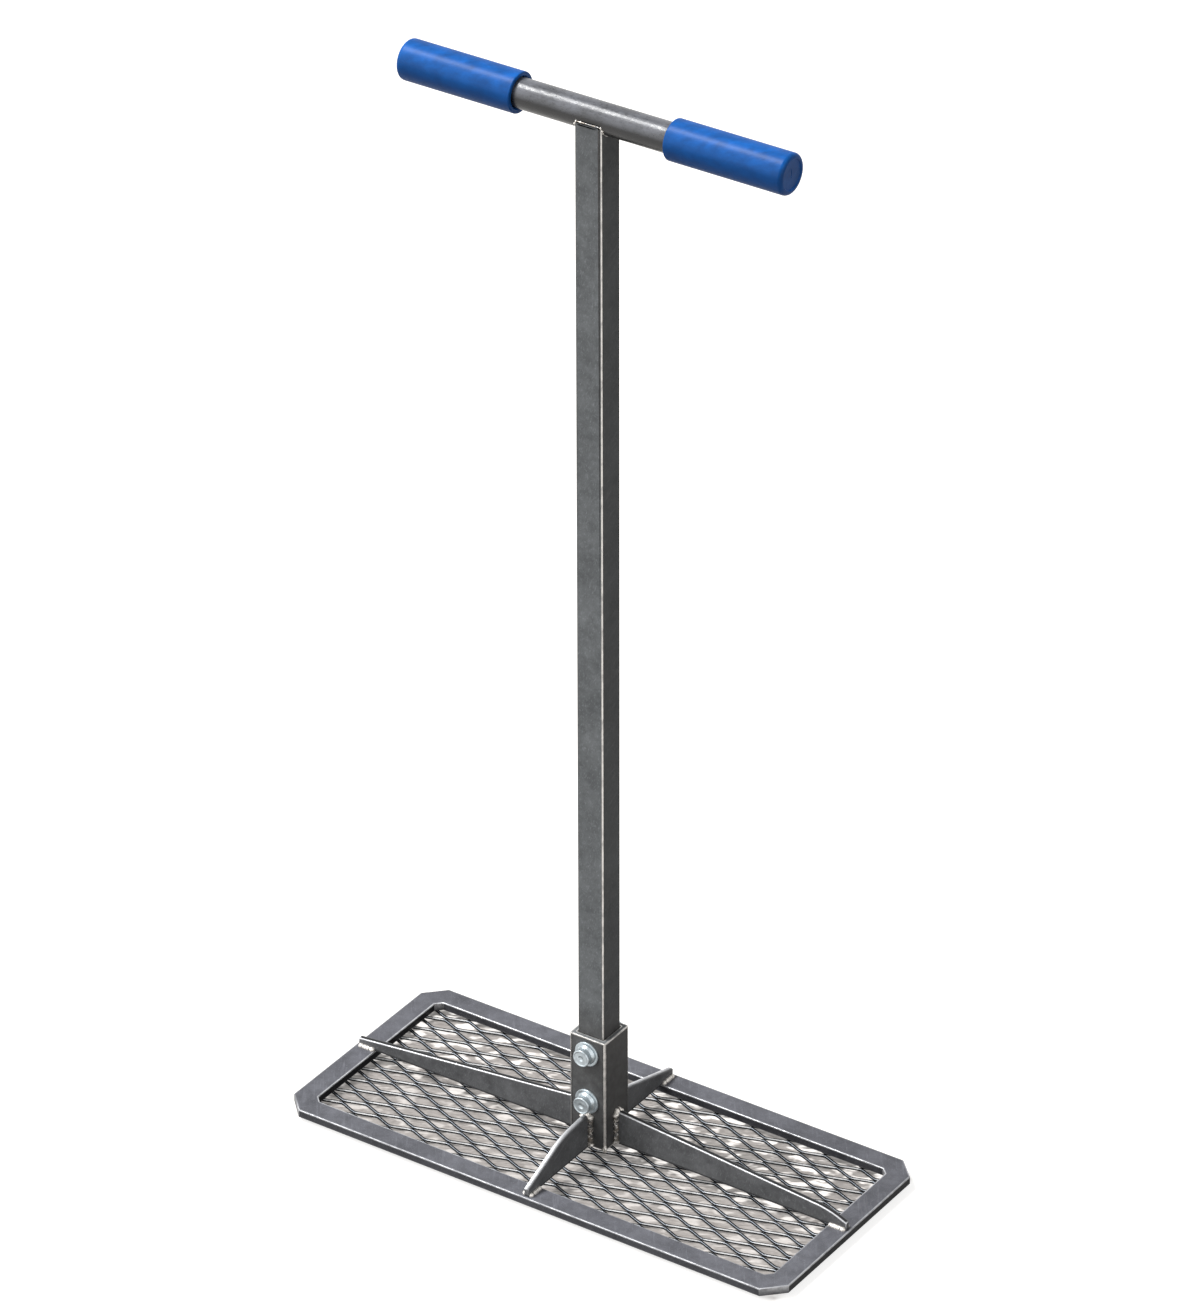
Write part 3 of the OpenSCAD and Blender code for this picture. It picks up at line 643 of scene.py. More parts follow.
def weld_bead_tree():
    """A lumpy, rippled bead along each edge of the mesh that it is given."""
    tree, add, given = start_tree("weld_bead", (
        ("Paths", "Geometry"), ("Radius", "Float"), ("Ripple Pitch", "Float"),
        ("Ripple Height", "Float"), ("Lump Height", "Float"), ("Lump Length", "Float"),
        ("End Lump", "Float"), ("Bare Length", "Float"), ("Step", "Float"),
        ("Seed", "Float"), ("Material", "Material")))

    paths = add("GeometryNodeMeshToCurve", {0: given["Paths"]})
    fine = add("GeometryNodeResampleCurve", {
        "Curve": paths, "Length": given["Step"]}, mode="LENGTH")
    along = add("GeometryNodeSplineParameter").outputs["Length"]
    whole = add("GeometryNodeSplineLength").outputs["Length"]
    to_end = add(MATH, (
        along, add(MATH, (whole, along), operation="SUBTRACT")), operation="MINIMUM")
    # The ends close over a quarter circle, and swell a little before they do
    near = add(MATH, (
        1, add(MATH, (to_end, given["Radius"]), operation="DIVIDE")), operation="SUBTRACT")
    near = add("ShaderNodeClamp", {"Value": near, "Min": 0.0, "Max": 0.97})
    round_end = add(MATH, (near, near), operation="MULTIPLY")
    round_end = add(MATH, (1, round_end), operation="SUBTRACT")
    round_end = add(MATH, (round_end,), operation="SQRT")
    swell = add(RANGE, (
        to_end, 0.0, add(MATH, (given["Radius"], 2.2), operation="MULTIPLY"),
        add(MATH, (1, given["End Lump"]), operation="ADD"), 1.0), interpolation_type="SMOOTHSTEP")
    sized = add("GeometryNodeSetCurveRadius", {
        "Curve": fine, "Radius": add(MATH, (round_end, swell), operation="MULTIPLY")})
    kept = add("GeometryNodeCaptureAttribute", {"Geometry": sized}, domain="POINT")
    for label, length in (("Along", along), ("To End", to_end.outputs[0])):
        kept.capture_items.new("FLOAT", label)
        tree.links.new(length, kept.inputs[label])
    ring = add("GeometryNodeCurvePrimitiveCircle", {"Resolution": 12, "Radius": given["Radius"]})
    bead = add("GeometryNodeCurveToMesh", {
        "Curve": kept, "Profile Curve": ring, "Fill Caps": True,
        "Scale": add("GeometryNodeInputRadius")})
    # Ripples are a row of crests, and lumps come from a slow noise
    wander = add(NOISE, {
        "Vector": add("GeometryNodeInputPosition"), "W": given["Seed"],
        "Scale": per_feature(9), "Detail": 1.0}, noise_dimensions="4D")
    phase = add(MATH, (
        add(MATH, (kept.outputs["Along"], given["Ripple Pitch"]), operation="DIVIDE"),
        add(MATH, (wander, 3.0), operation="MULTIPLY")), operation="ADD")
    phase = add(MATH, (phase,), operation="FRACT")
    crest = add(MATH, (phase, math.pi), operation="MULTIPLY")
    crest = add(MATH, (crest,), operation="SINE")
    pool = add(MATH, (
        add(MATH, (kept.outputs["Along"], given["Lump Length"]), operation="DIVIDE"),
        add(MATH, (wander, 1.2), operation="MULTIPLY")), operation="ADD")
    pool = add(MATH, (pool,), operation="FRACT")
    slope = add(MATH, (pool, 2.0), operation="MULTIPLY")
    slope = add(MATH, (slope, 1.0), operation="SUBTRACT")
    dome = add(MATH, (slope, slope), operation="MULTIPLY")
    dome = add(MATH, (1.0, dome), operation="SUBTRACT")
    dome = add(MATH, (dome,), operation="SQRT")
    lump = add(MATH, (dome, 0.75), operation="SUBTRACT")
    height = add(MATH, (
        add(MATH, (crest, given["Ripple Height"]), operation="MULTIPLY"),
        add(MATH, (lump, given["Lump Height"]), operation="MULTIPLY")), operation="ADD")
    offset = add("ShaderNodeVectorMath", {
        0: add("GeometryNodeInputNormal"), "Scale": height}, operation="SCALE")
    pushed = add("GeometryNodeSetPosition", {"Geometry": bead, "Offset": offset})
    # How high each point stands on its ripples and lumps; the material paints highlight on the
    # high parts and shade on the low ones
    shown = add(MATH, (
        add(MATH, (crest, 0.35), operation="MULTIPLY"),
        add(MATH, (dome, 0.65), operation="MULTIPLY")), operation="ADD")
    named = add("GeometryNodeStoreNamedAttribute", {
        "Geometry": pushed, "Name": "crest", "Value": shown}, data_type="FLOAT", domain="POINT")
    # Near each end the bead is marked for a painted highlight
    end_highlight_from = add(MATH, (given["Bare Length"], 1.25), operation="MULTIPLY")
    end_highlight_share = add(RANGE, (kept.outputs["To End"], end_highlight_from, given["Bare Length"]))
    bared = add("GeometryNodeStoreNamedAttribute", {
        "Geometry": named, "Name": "bare", "Value": end_highlight_share}, data_type="FLOAT", domain="POINT")
    soft = add("GeometryNodeSetShadeSmooth", {"Geometry": bared})
    real = add("GeometryNodeRealizeInstances", {0: soft})
    dressed = add("GeometryNodeSetMaterial", {"Geometry": real, "Material": given["Material"]})
    add("NodeGroupOutput", {0: dressed})
    return tree


def path_mesh(name, paths):
    """A mesh of bare edges along the given rows of points."""
    points = [p for path in paths for p in path]
    edges = []
    start = 0
    for path in paths:
        edges += [(start + i, start + i + 1) for i in range(len(path) - 1)]
        start += len(path)
    mesh = bpy.data.meshes.new(name)
    mesh.from_pydata(points, edges, [])
    return mesh


def weld_piece(node, paths, radius, seed, ripple=0.16, lump=0.5, end=0.25, bare=4, step=0.4):
    """All the beads of one node, in millimetres, as one piece. bare is how much of each end
    carries a painted highlight."""
    sizes = bpy.context.scene.tamper.sizes
    name = "beads_" + node
    if "weld_bead" not in bpy.data.node_groups:
        weld_bead_tree()
    mesh = grown(name, bpy.data.node_groups["weld_bead"], {
        "Radius": radius * MM, "Ripple Pitch": sizes.ripple_pitch,
        "Ripple Height": ripple * MM, "Lump Height": lump * MM, "Lump Length": 11 * MM,
        "End Lump": end, "Bare Length": bare * MM, "Step": step * MM, "Seed": float(seed),
        "Material": material_for("bead")}, path_mesh(name, paths))
    return new_piece(name, mesh, node, material_for("bead"))


def lathe(name, rings, around, place, sharp=math.radians(35)):
    """A closed turned solid. Each ring is a radius and height in millimetres, where the radius
    may be a function of the angle. A first or last ring of no radius is a single point."""
    bm = bmesh.new()
    grid = []
    for radius, height in rings:
        if radius == 0:
            grid.append([bm.verts.new((0, 0, height * MM))])
            continue
        ring = []
        for i in range(around):
            angle = 2 * math.pi * i / around
            r = (radius(angle) if callable(radius) else radius) * MM
            ring.append(bm.verts.new((r * math.cos(angle), r * math.sin(angle), height * MM)))
        grid.append(ring)
    closed = len(grid[0]) > 1
    pairs = list(zip(grid, grid[1:] + grid[:1] if closed else grid[1:]))
    for low, high in pairs:
        for i in range(around):
            j = (i + 1) % around
            if len(low) == 1:
                bm.faces.new((low[0], high[j], high[i]))
            elif len(high) == 1:
                bm.faces.new((low[i], low[j], high[0]))
            else:
                bm.faces.new((low[i], low[j], high[j], high[i]))
    bmesh.ops.transform(bm, matrix=place, verts=bm.verts)
    bmesh.ops.recalc_face_normals(bm, faces=bm.faces)
    return smoothed(bm, name, sharp)


def arc(center_r, center_z, radius, start, end, steps=5):
    """Ring radii and heights along part of a circle, from one angle to another in degrees."""
    made = []
    for i in range(steps + 1):
        angle = math.radians(start + (end - start) * i / steps)
        made.append((center_r + radius * math.cos(angle), center_z + radius * math.sin(angle)))
    return made


def box_mm(node):
    """The low and high corners of a CAD node, in millimetres."""
    return [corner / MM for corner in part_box(node)]


def middle(node):
    """The middle of a CAD node, in metres."""
    low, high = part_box(node)
    return (low + high) / 2


def frame_wear_and_highlight(face):
    """The far inner top edges are marked most, then the front and right outer top edges, all
    facing the camera: wear with painted highlight.
    """
    spot = face.calc_center_median() / MM
    middle_z, front_y, right_x = 10, -138, 313
    opening_x, opening_y, far_x, far_y = 292, 117, -285, 110
    if spot.z < middle_z:
        return 0.15
    if spot.y < front_y or spot.x > right_x:
        return 0.6
    inner = abs(spot.x) < opening_x and abs(spot.y) < opening_y
    return 0.85 if inner and (spot.y > far_y or spot.x < far_x) else 0.3


def frame_rub(face):
    """The cut corners' walls knock against things."""
    return 0.1 if min(abs(face.normal.x), abs(face.normal.y)) > 0.5 else 0.0


def is_gusset(face):
    """The gussets stand on the middle line, and the ribs beside it."""
    return abs(face.calc_center_median().x) < 4 * MM


def plate_wear_and_highlight(face):
    """The ribs' front top edges and the gussets' left ones, which face the camera and the light,
    are marked most: wear with painted highlight.
    """
    if face.normal.z < 0.2:
        return 0.1
    toward = face.normal.x if is_gusset(face) else face.normal.y
    if toward < -0.2:
        return 0.95
    return 0.1 if is_gusset(face) else 0.2


def plate_rub_and_highlight(face):
    """Across the gussets' tops the mark of wear and painted highlight fades evenly from their left
    edges.
    """
    return 0.05 if is_gusset(face) and face.normal.z > 0.2 else 0.0


def corner_of_tube(face):
    return min(abs(face.normal.x), abs(face.normal.y)) > 0.3


def socket_wear(face):
    """The rim, and the front right corner down to the base."""
    spot = face.calc_center_median() / MM
    rim_z = 140
    if spot.z > rim_z:
        return 0.78
    return 0.95 if spot.x > 0 and spot.y < 0 else 0.1


def socket_rub(face):
    return socket_wear(face) if corner_of_tube(face) else 0.0


def pole_wear(face):
    """The front right corner is bare from leaning and carrying."""
    spot = face.calc_center_median() / MM
    return 1.0 if spot.x > 0 and spot.y < 0 else 0.15


def pole_rub(face):
    return pole_wear(face) if corner_of_tube(face) else 0.0


class TAMPER_OT_base_frame(bpy.types.Operator):
    """Makes the flat steel frame with its rubbed edges"""
    bl_idname = "tamper.base_frame"
    bl_label = "Base Frame"

    def execute(self, context):
        sizes = context.scene.tamper.sizes
        steel_piece("base_frame", "frame", sizes.edge_radius * 1.1,
                    sizes.worn_band, frame_wear_and_highlight, frame_rub)
        return {"FINISHED"}


class TAMPER_OT_plates(bpy.types.Operator):
    """Makes the two ribs and the two gussets"""
    bl_idname = "tamper.plates"
    bl_label = "Ribs and Gussets"

    def execute(self, context):
        sizes = context.scene.tamper.sizes
        for node in ("left_rib", "right_rib", "front_gusset", "back_gusset"):
            steel_piece(node, "plate", sizes.edge_radius,
                        sizes.worn_band * 0.9, plate_wear_and_highlight, plate_rub_and_highlight, bend=14 * MM)
        return {"FINISHED"}


class TAMPER_OT_tubes(bpy.types.Operator):
    """Makes the socket and the pole"""
    bl_idname = "tamper.tubes"
    bl_label = "Socket and Pole"

    def execute(self, context):
        sizes = context.scene.tamper.sizes
        steel_piece("socket", "tube", sizes.edge_radius,
                    sizes.worn_band * 1.2, socket_wear, socket_rub)
        steel_piece("pole", "tube", sizes.edge_radius * 0.5,
                    sizes.worn_band * 0.5, pole_wear, pole_rub)
        return {"FINISHED"}


class TAMPER_OT_expanded_mesh(bpy.types.Operator):
    """Makes the raised expanded mesh and shears it to its outline"""
    bl_idname = "tamper.expanded_mesh"
    bl_label = "Expanded Mesh"

    def execute(self, context):
        sizes = context.scene.tamper.sizes
        low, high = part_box("expanded_mesh")
        knuckle = Vector((-20, -3, 0)) * MM
        columns = math.ceil((knuckle.x - low.x) / sizes.diamond_length) + 1
        rows = 2 * math.ceil((knuckle.y - low.y) / sizes.diamond_width) + 2
        # The first course starts on an upper knuckle, half a row above the course's middle
        start = Vector((
            knuckle.x - columns * sizes.diamond_length,
            knuckle.y - (rows + 0.5) * sizes.diamond_width / 2,
            (low.z + high.z) / 2))
        mesh = grown("raised_mesh", raised_mesh_tree(), {
            "Knuckle": start,
            "Courses": 2 * math.ceil((high.y - start.y) / sizes.diamond_width) + 1,
            "Diamonds": math.ceil((high.x - start.x) / sizes.diamond_length) + 1,
            "Diamond Length": sizes.diamond_length, "Diamond Width": sizes.diamond_width,
            "Strand Width": sizes.strand_width, "Sheet Thickness": sizes.sheet_thickness,
            "Tilt": sizes.strand_tilt, "Edge Break": 0.4 * MM, "Steps": 12,
            "Material": material_for("mesh")})
        bm = bmesh.new()
        bm.from_mesh(mesh)
        bpy.data.meshes.remove(mesh)
        diagonal = high.x + high.y - sizes.mesh_corner_cut
        cuts = [((0, 0, high.z), (0, 0, 1)), ((0, 0, low.z), (0, 0, -1))]
        for side in (-1, 1):
            cuts.append(((side * high.x, 0, 0), (side, 0, 0)))
            cuts.append(((0, side * high.y, 0), (0, side, 0)))
            for other in (-1, 1):
                cuts.append(((side * diagonal, 0, 0), (side, other, 0)))
        for point, outward in cuts:
            shear(bm, point, outward)
        piece_mesh = smoothed(bm, "raised_mesh", math.radians(30))
        new_piece("raised_mesh", piece_mesh, "expanded_mesh",
                  material_for("mesh"))
        return {"FINISHED"}


def shear(bm, point, outward):
    """Cuts away what lies beyond a plane and closes the cut strands."""
    everything = list(bm.verts) + list(bm.edges) + list(bm.faces)
    bmesh.ops.bisect_plane(
        bm, geom=everything, dist=0.0005 * MM, plane_co=point, plane_no=outward,
        clear_outer=True)
    bmesh.ops.holes_fill(bm, edges=[e for e in bm.edges if e.is_boundary], sides=0)


class TAMPER_OT_welds(bpy.types.Operator):
    """Makes every weld bead"""
    bl_idname = "tamper.welds"
    bl_label = "Weld Beads"

    def execute(self, context):
        millimetre_box = {
            node: [[c / MM for c in corner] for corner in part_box(node)]
            for node in ("base_frame", "socket", "right_rib", "plate_socket_welds",
                         "plate_frame_welds", "mesh_stitches", "expanded_mesh",
                         "pole", "crossbar")}
        weld_piece("plate_socket_welds", socket_paths(millimetre_box), 3.1, 3,
                   ripple=0.12, lump=0.9, end=0.6, bare=3.2)
        weld_piece("plate_frame_welds", frame_paths(millimetre_box), 2.6, 11,
                   ripple=0.2, lump=0.3, end=0.1, bare=9)
        weld_piece("mesh_stitches", stitch_paths(millimetre_box), 1.8, 23, step=0.8)
        weld_piece("pole_crossbar_welds", saddle_paths(millimetre_box), 1.0, 31,
                   ripple=0.08, lump=0.3, end=0.5, bare=1.5, step=0.3)
        return {"FINISHED"}


def turned_point(x, y, z, turn):
    """A point turned about the upright axis by quarter turns, in metres."""
    c, s = ((1, 0), (0, 1), (-1, 0), (0, -1))[turn % 4]
    return Vector((x * c - y * s, x * s + y * c, z)) * MM


def socket_paths(box):
    """Upright beads in the corners between the plates and the socket."""
    wall = box["socket"][1][0] + 1.2
    side = box["right_rib"][1][1] + 1.2
    low, high = box["plate_socket_welds"][0][2], box["plate_socket_welds"][1][2]
    beads = [[turned_point(wall, y, z, turn) for z in (low, high)]
             for turn in range(4) for y in (-side, side)]
    # A tack under each of the socket's corners, where it meets the mesh
    corner = box["socket"][1][0] - 1.2
    tacks = [[turned_point(corner + d, corner - d, low + 0.6, turn) for d in (-1.6, 1.6)]
             for turn in range(4)]
    # A bead across each plate's top where it meets the socket
    caps = [[turned_point(wall - 0.4, y, high - 0.4, turn) for y in (-side, side)]
            for turn in range(4)]
    return beads + tacks + caps


def frame_paths(box):
    """Level beads in the corners between the plates and the frame's top."""
    side = box["right_rib"][1][1] + 0.9
    top = box["base_frame"][1][2] + 0.9
    ribs_start = 291.0
    length = box["plate_frame_welds"][1][0] - ribs_start
    made = []
    for turn in range(4):
        outer = box["plate_frame_welds"][1][turn % 2]
        inner = outer - length
        made += [[turned_point(x, y, top, turn) for x in (inner, outer)]
                 for y in (-side, side)]
    return made


def stitch_paths(box):
    """Short beads between the mesh's edge and the frame's underside, five along each long
    side and two along each short side."""
    half_bead, bead_z, past_edge = 15, 4.2, 0.7
    made = []
    for across, count in ((1, 5), (0, 2)):
        half_side = box["expanded_mesh"][1][1 - across]
        edge = box["expanded_mesh"][1][across] + past_edge
        for i in range(count):
            bead_x = half_side * (2 * i + 1 - count) / count
            for turn in ((0, 2) if across else (1, 3)):
                made.append([turned_point(bead_x + dx, edge, bead_z, turn)
                             for dx in (-half_bead, half_bead)])
    return made


def saddle_paths(box):
    """Beads along the tops of the pole's walls, where the crossbar lies in them."""
    half, top = box["pole"][1][0], box["pole"][1][2]
    low, high = box["crossbar"][0][2], box["crossbar"][1][2]
    axis, radius = (low + high) / 2, (high - low) / 2 + 0.5
    made = [[Vector((x, side * (half - 0.4), top + 0.9)) * MM for x in (-half + 0.6, half - 0.4)]
            for side in (-1, 1)]
    angles = [math.radians(a) for a in (18, 26, 34)]
    for side in (-1, 1):
        for face in (-1, 1):
            made.append([Vector((side * (half + 0.1), face * radius * math.cos(a),
                                 axis - radius * math.sin(a))) * MM for a in angles])
    return made


class TAMPER_OT_crossbar(bpy.types.Operator):
    """Makes the round crossbar"""
    bl_idname = "tamper.crossbar"
    bl_label = "Crossbar"

    def execute(self, context):
        low, high = box_mm("crossbar")
        outer, half, wall, bevel, spans = high.y, high.x, 2.5, 0.6, 24
        inner = outer - wall
        rings = [(inner, -half), (outer - bevel, -half), (outer, -half + bevel)]
        rings += [(outer, -half + bevel + (2 * half - 2 * bevel) * i / spans)
                  for i in range(1, spans + 1)]
        rings += [(outer - bevel, half), (inner, half)]
        place = Matrix.Translation((0, 0, (low.z + high.z) / 2 * MM)) @ \
            Matrix.Rotation(math.pi / 2, 4, "Y")
        mesh = lathe("drawn_crossbar", rings, 96, place)
        new_piece("drawn_crossbar", mesh, "crossbar", material_for("bar"))
        return {"FINISHED"}


class TAMPER_OT_grips(bpy.types.Operator):
    """Makes the two blue hand grips"""
    bl_idname = "tamper.grips"
    bl_label = "Hand Grips"

    def execute(self, context):
        for node, side in (("left_grip", -1), ("right_grip", 1)):
            low, high = box_mm(node)
            length = high.x - low.x
            outer = high.y
            inner_x = low.x if side > 0 else high.x
            # The bore's radius, the closed end's wall, the dish's depth and the rim's rounding
            bore, end, dish, rim = 16.1, 6.0, 1.4, 4.6
            rings = [(0, length - end), (bore - 0.5, length - end), (bore, length - end - 0.5),
                     (bore, 3.0), (bore + 0.5, 1.2), (bore + 1.4, 0.3)]
            rings += [(bore + 2.2, 0.0), (outer - 1.9, 0.0)]
            rings += arc(outer - 1.5, 1.5, 1.5, -80, 0, 5)
            rings += [(outer, 3.4), (outer, 8), (outer, length / 2), (outer, length - 12)]
            rings += arc(outer - rim, length - rim, rim, 0, 90, 8)
            rings += [(outer - rim - 0.5, length)]
            rings += arc(outer - rim - 0.5, length - 0.7, 0.7, 100, 170, 3)
            rings += [(outer - rim - 1.5, length - dish + 0.3),
                      (outer - rim - 2.1, length - dish), (8, length - dish),
                      (0, length - dish)]
            turn = Matrix.Rotation(side * math.pi / 2, 4, "Y")
            place = Matrix.Translation(Vector((inner_x, 0, middle(node).z / MM)) * MM) @ turn
            mesh = lathe("moulded_" + node, rings, 96, place, math.radians(40))
            add_gate_mark(mesh, side * (abs(inner_x) + length - dish), middle(node).z / MM)
            new_piece("moulded_" + node, mesh, node, material_for("grip"))
        return {"FINISHED"}


def add_gate_mark(mesh, x, z):
    """Adds the short raised line and nub that the mould's gate leaves in a grip's end."""
    bm = bmesh.new()
    bm.from_mesh(mesh)
    for height, width, rise in ((9.0, 0.7, 2.4), (1.7, 1.7, -2.6)):
        size = Vector((0.7, width, height))
        made = bmesh.ops.create_uvsphere(bm, u_segments=12, v_segments=8, radius=0.5)
        bmesh.ops.transform(
            bm, verts=made["verts"],
            matrix=Matrix.Translation(Vector((x, 0, z + rise)) * MM)
            @ Matrix.Diagonal((*(size * MM), 1)))
    bm.to_mesh(mesh)
    bm.free()


def thread_radius(major, minor, height, pitch):
    """The radius of a screw thread at one height, as a function of the angle."""
    def radius(angle):
        turn = (height / pitch - angle / (2 * math.pi)) % 1
        ramp_up = abs(2 * turn - 1)
        return minor + (major - minor) * min(1, max(0, 1.3 * ramp_up - 0.15))
    return radius


class TAMPER_OT_fasteners(bpy.types.Operator):
    """Makes the two bolts with their nuts and washers"""
    bl_idname = "tamper.fasteners"
    bl_label = "Fasteners"

    def execute(self, context):
        pitch = context.scene.tamper.sizes.thread_pitch / MM
        thread = context.scene.tamper.sizes.thread_length / MM
        for level in LEVELS:
            self.bolt(level + "_bolt", pitch, thread)
            self.nut(level + "_nut", pitch)
            for side in ("head", "nut"):
                self.washer(f"{level}_{side}_washer")
        return {"FINISHED"}

    def turned(self, node, rings, around, y, toward, sharp=math.radians(35)):
        """Makes a turned piece whose +Z points along -Y, toward 1, or along +Y, toward -1."""
        place = Matrix.Translation(Vector((0, y, middle(node).z / MM)) * MM) @ \
            Matrix.Rotation(toward * math.pi / 2, 4, "X")
        mesh = lathe("zinc_" + node, rings, around, place, sharp)
        new_piece("zinc_" + node, mesh, node, material_for("zinc"))

    def bolt(self, node, pitch, thread):
        head, shank, major, core, tip, turn_steps = 10.4, 64.0, 6.35, 5.2, 0.3, 8
        rings = [(0, -shank), (major - 1.3, -shank), (major - 1.25, -shank + 0.1)]
        steps = int(thread / pitch * turn_steps)
        for i in range(steps + 1):
            height = -shank + tip + thread * i / steps
            # The first turns rise out of the chamfered end
            grow = min(1, 0.55 + (height + shank) / 3) if i < 12 else 1
            top = major - (1 - grow) * 1.6
            rings.append((thread_radius(top, core, height, pitch), height))
        run_out = -shank + tip + thread
        rings += [(major, run_out + 0.8), (major, -0.6), (major + 0.35, -0.1)]
        # Flange, hollow neck, head with a rolled rim and a slightly sunk face
        rings += [(11.1, 0.0), (11.45, 0.25), (11.4, 0.7), (10.9, 1.3), (10.2, 2.0),
                  (9.6, 2.8), (9.3, 3.6), (9.25, 4.4), (9.45, 5.2), (9.7, 6.2)]
        rings += arc(8.75, head - 1.2, 1.2, 0, 90, 6)
        rings += [(8.4, head - 0.06), (8.05, head - 0.35), (7.6, head - 0.55),
                  (4, head - 0.45), (3.3, head - 0.5)]
        # The forging die's dimple
        rings += [(3.1, head - 0.62), (2.5, head - 1.0), (1.7, head - 1.32),
                  (0.8, head - 1.5), (0, head - 1.55)]
        self.turned(node, rings, 48, box_mm(node)[0].y + head, 1)

    def washer(self, node):
        low, high = box_mm(node)
        outer, bore, thick, curve = (high.x - low.x) / 2, 6.75, high.y - low.y, 0.7
        rings = [(bore, 0.3), (bore + 0.3, 0.0), (outer - curve, 0.0)]
        rings += arc(outer - curve, curve, curve, -60, 0, 3)
        rings += arc(outer - curve, thick - curve, curve, 0, 90, 4)
        rings += [(bore + 0.4, thick), (bore, thick - 0.4)]
        toward = 1 if "head" in node else -1
        self.turned(node, rings, 72, high.y if toward > 0 else low.y, toward)

    def nut(self, node, pitch):
        low, high = box_mm(node)
        # Flat is half the width across the flats, and the thread's radii clear the bolt's
        flat, tall, major, minor = 9.5, high.y - low.y, 7.0, 6.42

        def hexagon(limit):
            def radius(angle):
                apart = angle % (math.pi / 3) - math.pi / 6
                return min(limit, flat / math.cos(apart))
            return radius

        rings = []
        steps = int(tall / pitch * 8)
        for i in range(steps + 1):
            height = 0.9 + (tall - 1.8) * i / steps
            rings.append((thread_radius(major, minor, height, pitch), height))
        rings = [(major + 0.1, 0.0)] + rings + [(major + 0.1, tall)]
        corner = flat / math.cos(math.pi / 6)
        rings += [(flat - 0.3, tall)]
        rings += [(hexagon(flat + (corner - flat) * s), tall - 1.5 * s)
                  for s in (0.05, 0.3, 0.6, 1)]
        rings += [(hexagon(flat + (corner - flat) * s), 1.5 * s) for s in (1, 0.6, 0.3, 0.05)]
        rings += [(flat - 0.3, 0.0)]
        self.turned(node, rings, 72, low.y, -1, math.radians(28))


def looked_at(add):
    """1 where the camera, a reflection or clear glass looks, and 0 where light arrives."""
    rays = add("ShaderNodeLightPath").outputs
    through = add(MATH, (rays["Is Glossy Ray"], rays["Is Transmission Ray"]), operation="MAXIMUM")
    return add(MATH, (rays["Is Camera Ray"], through), operation="MAXIMUM")


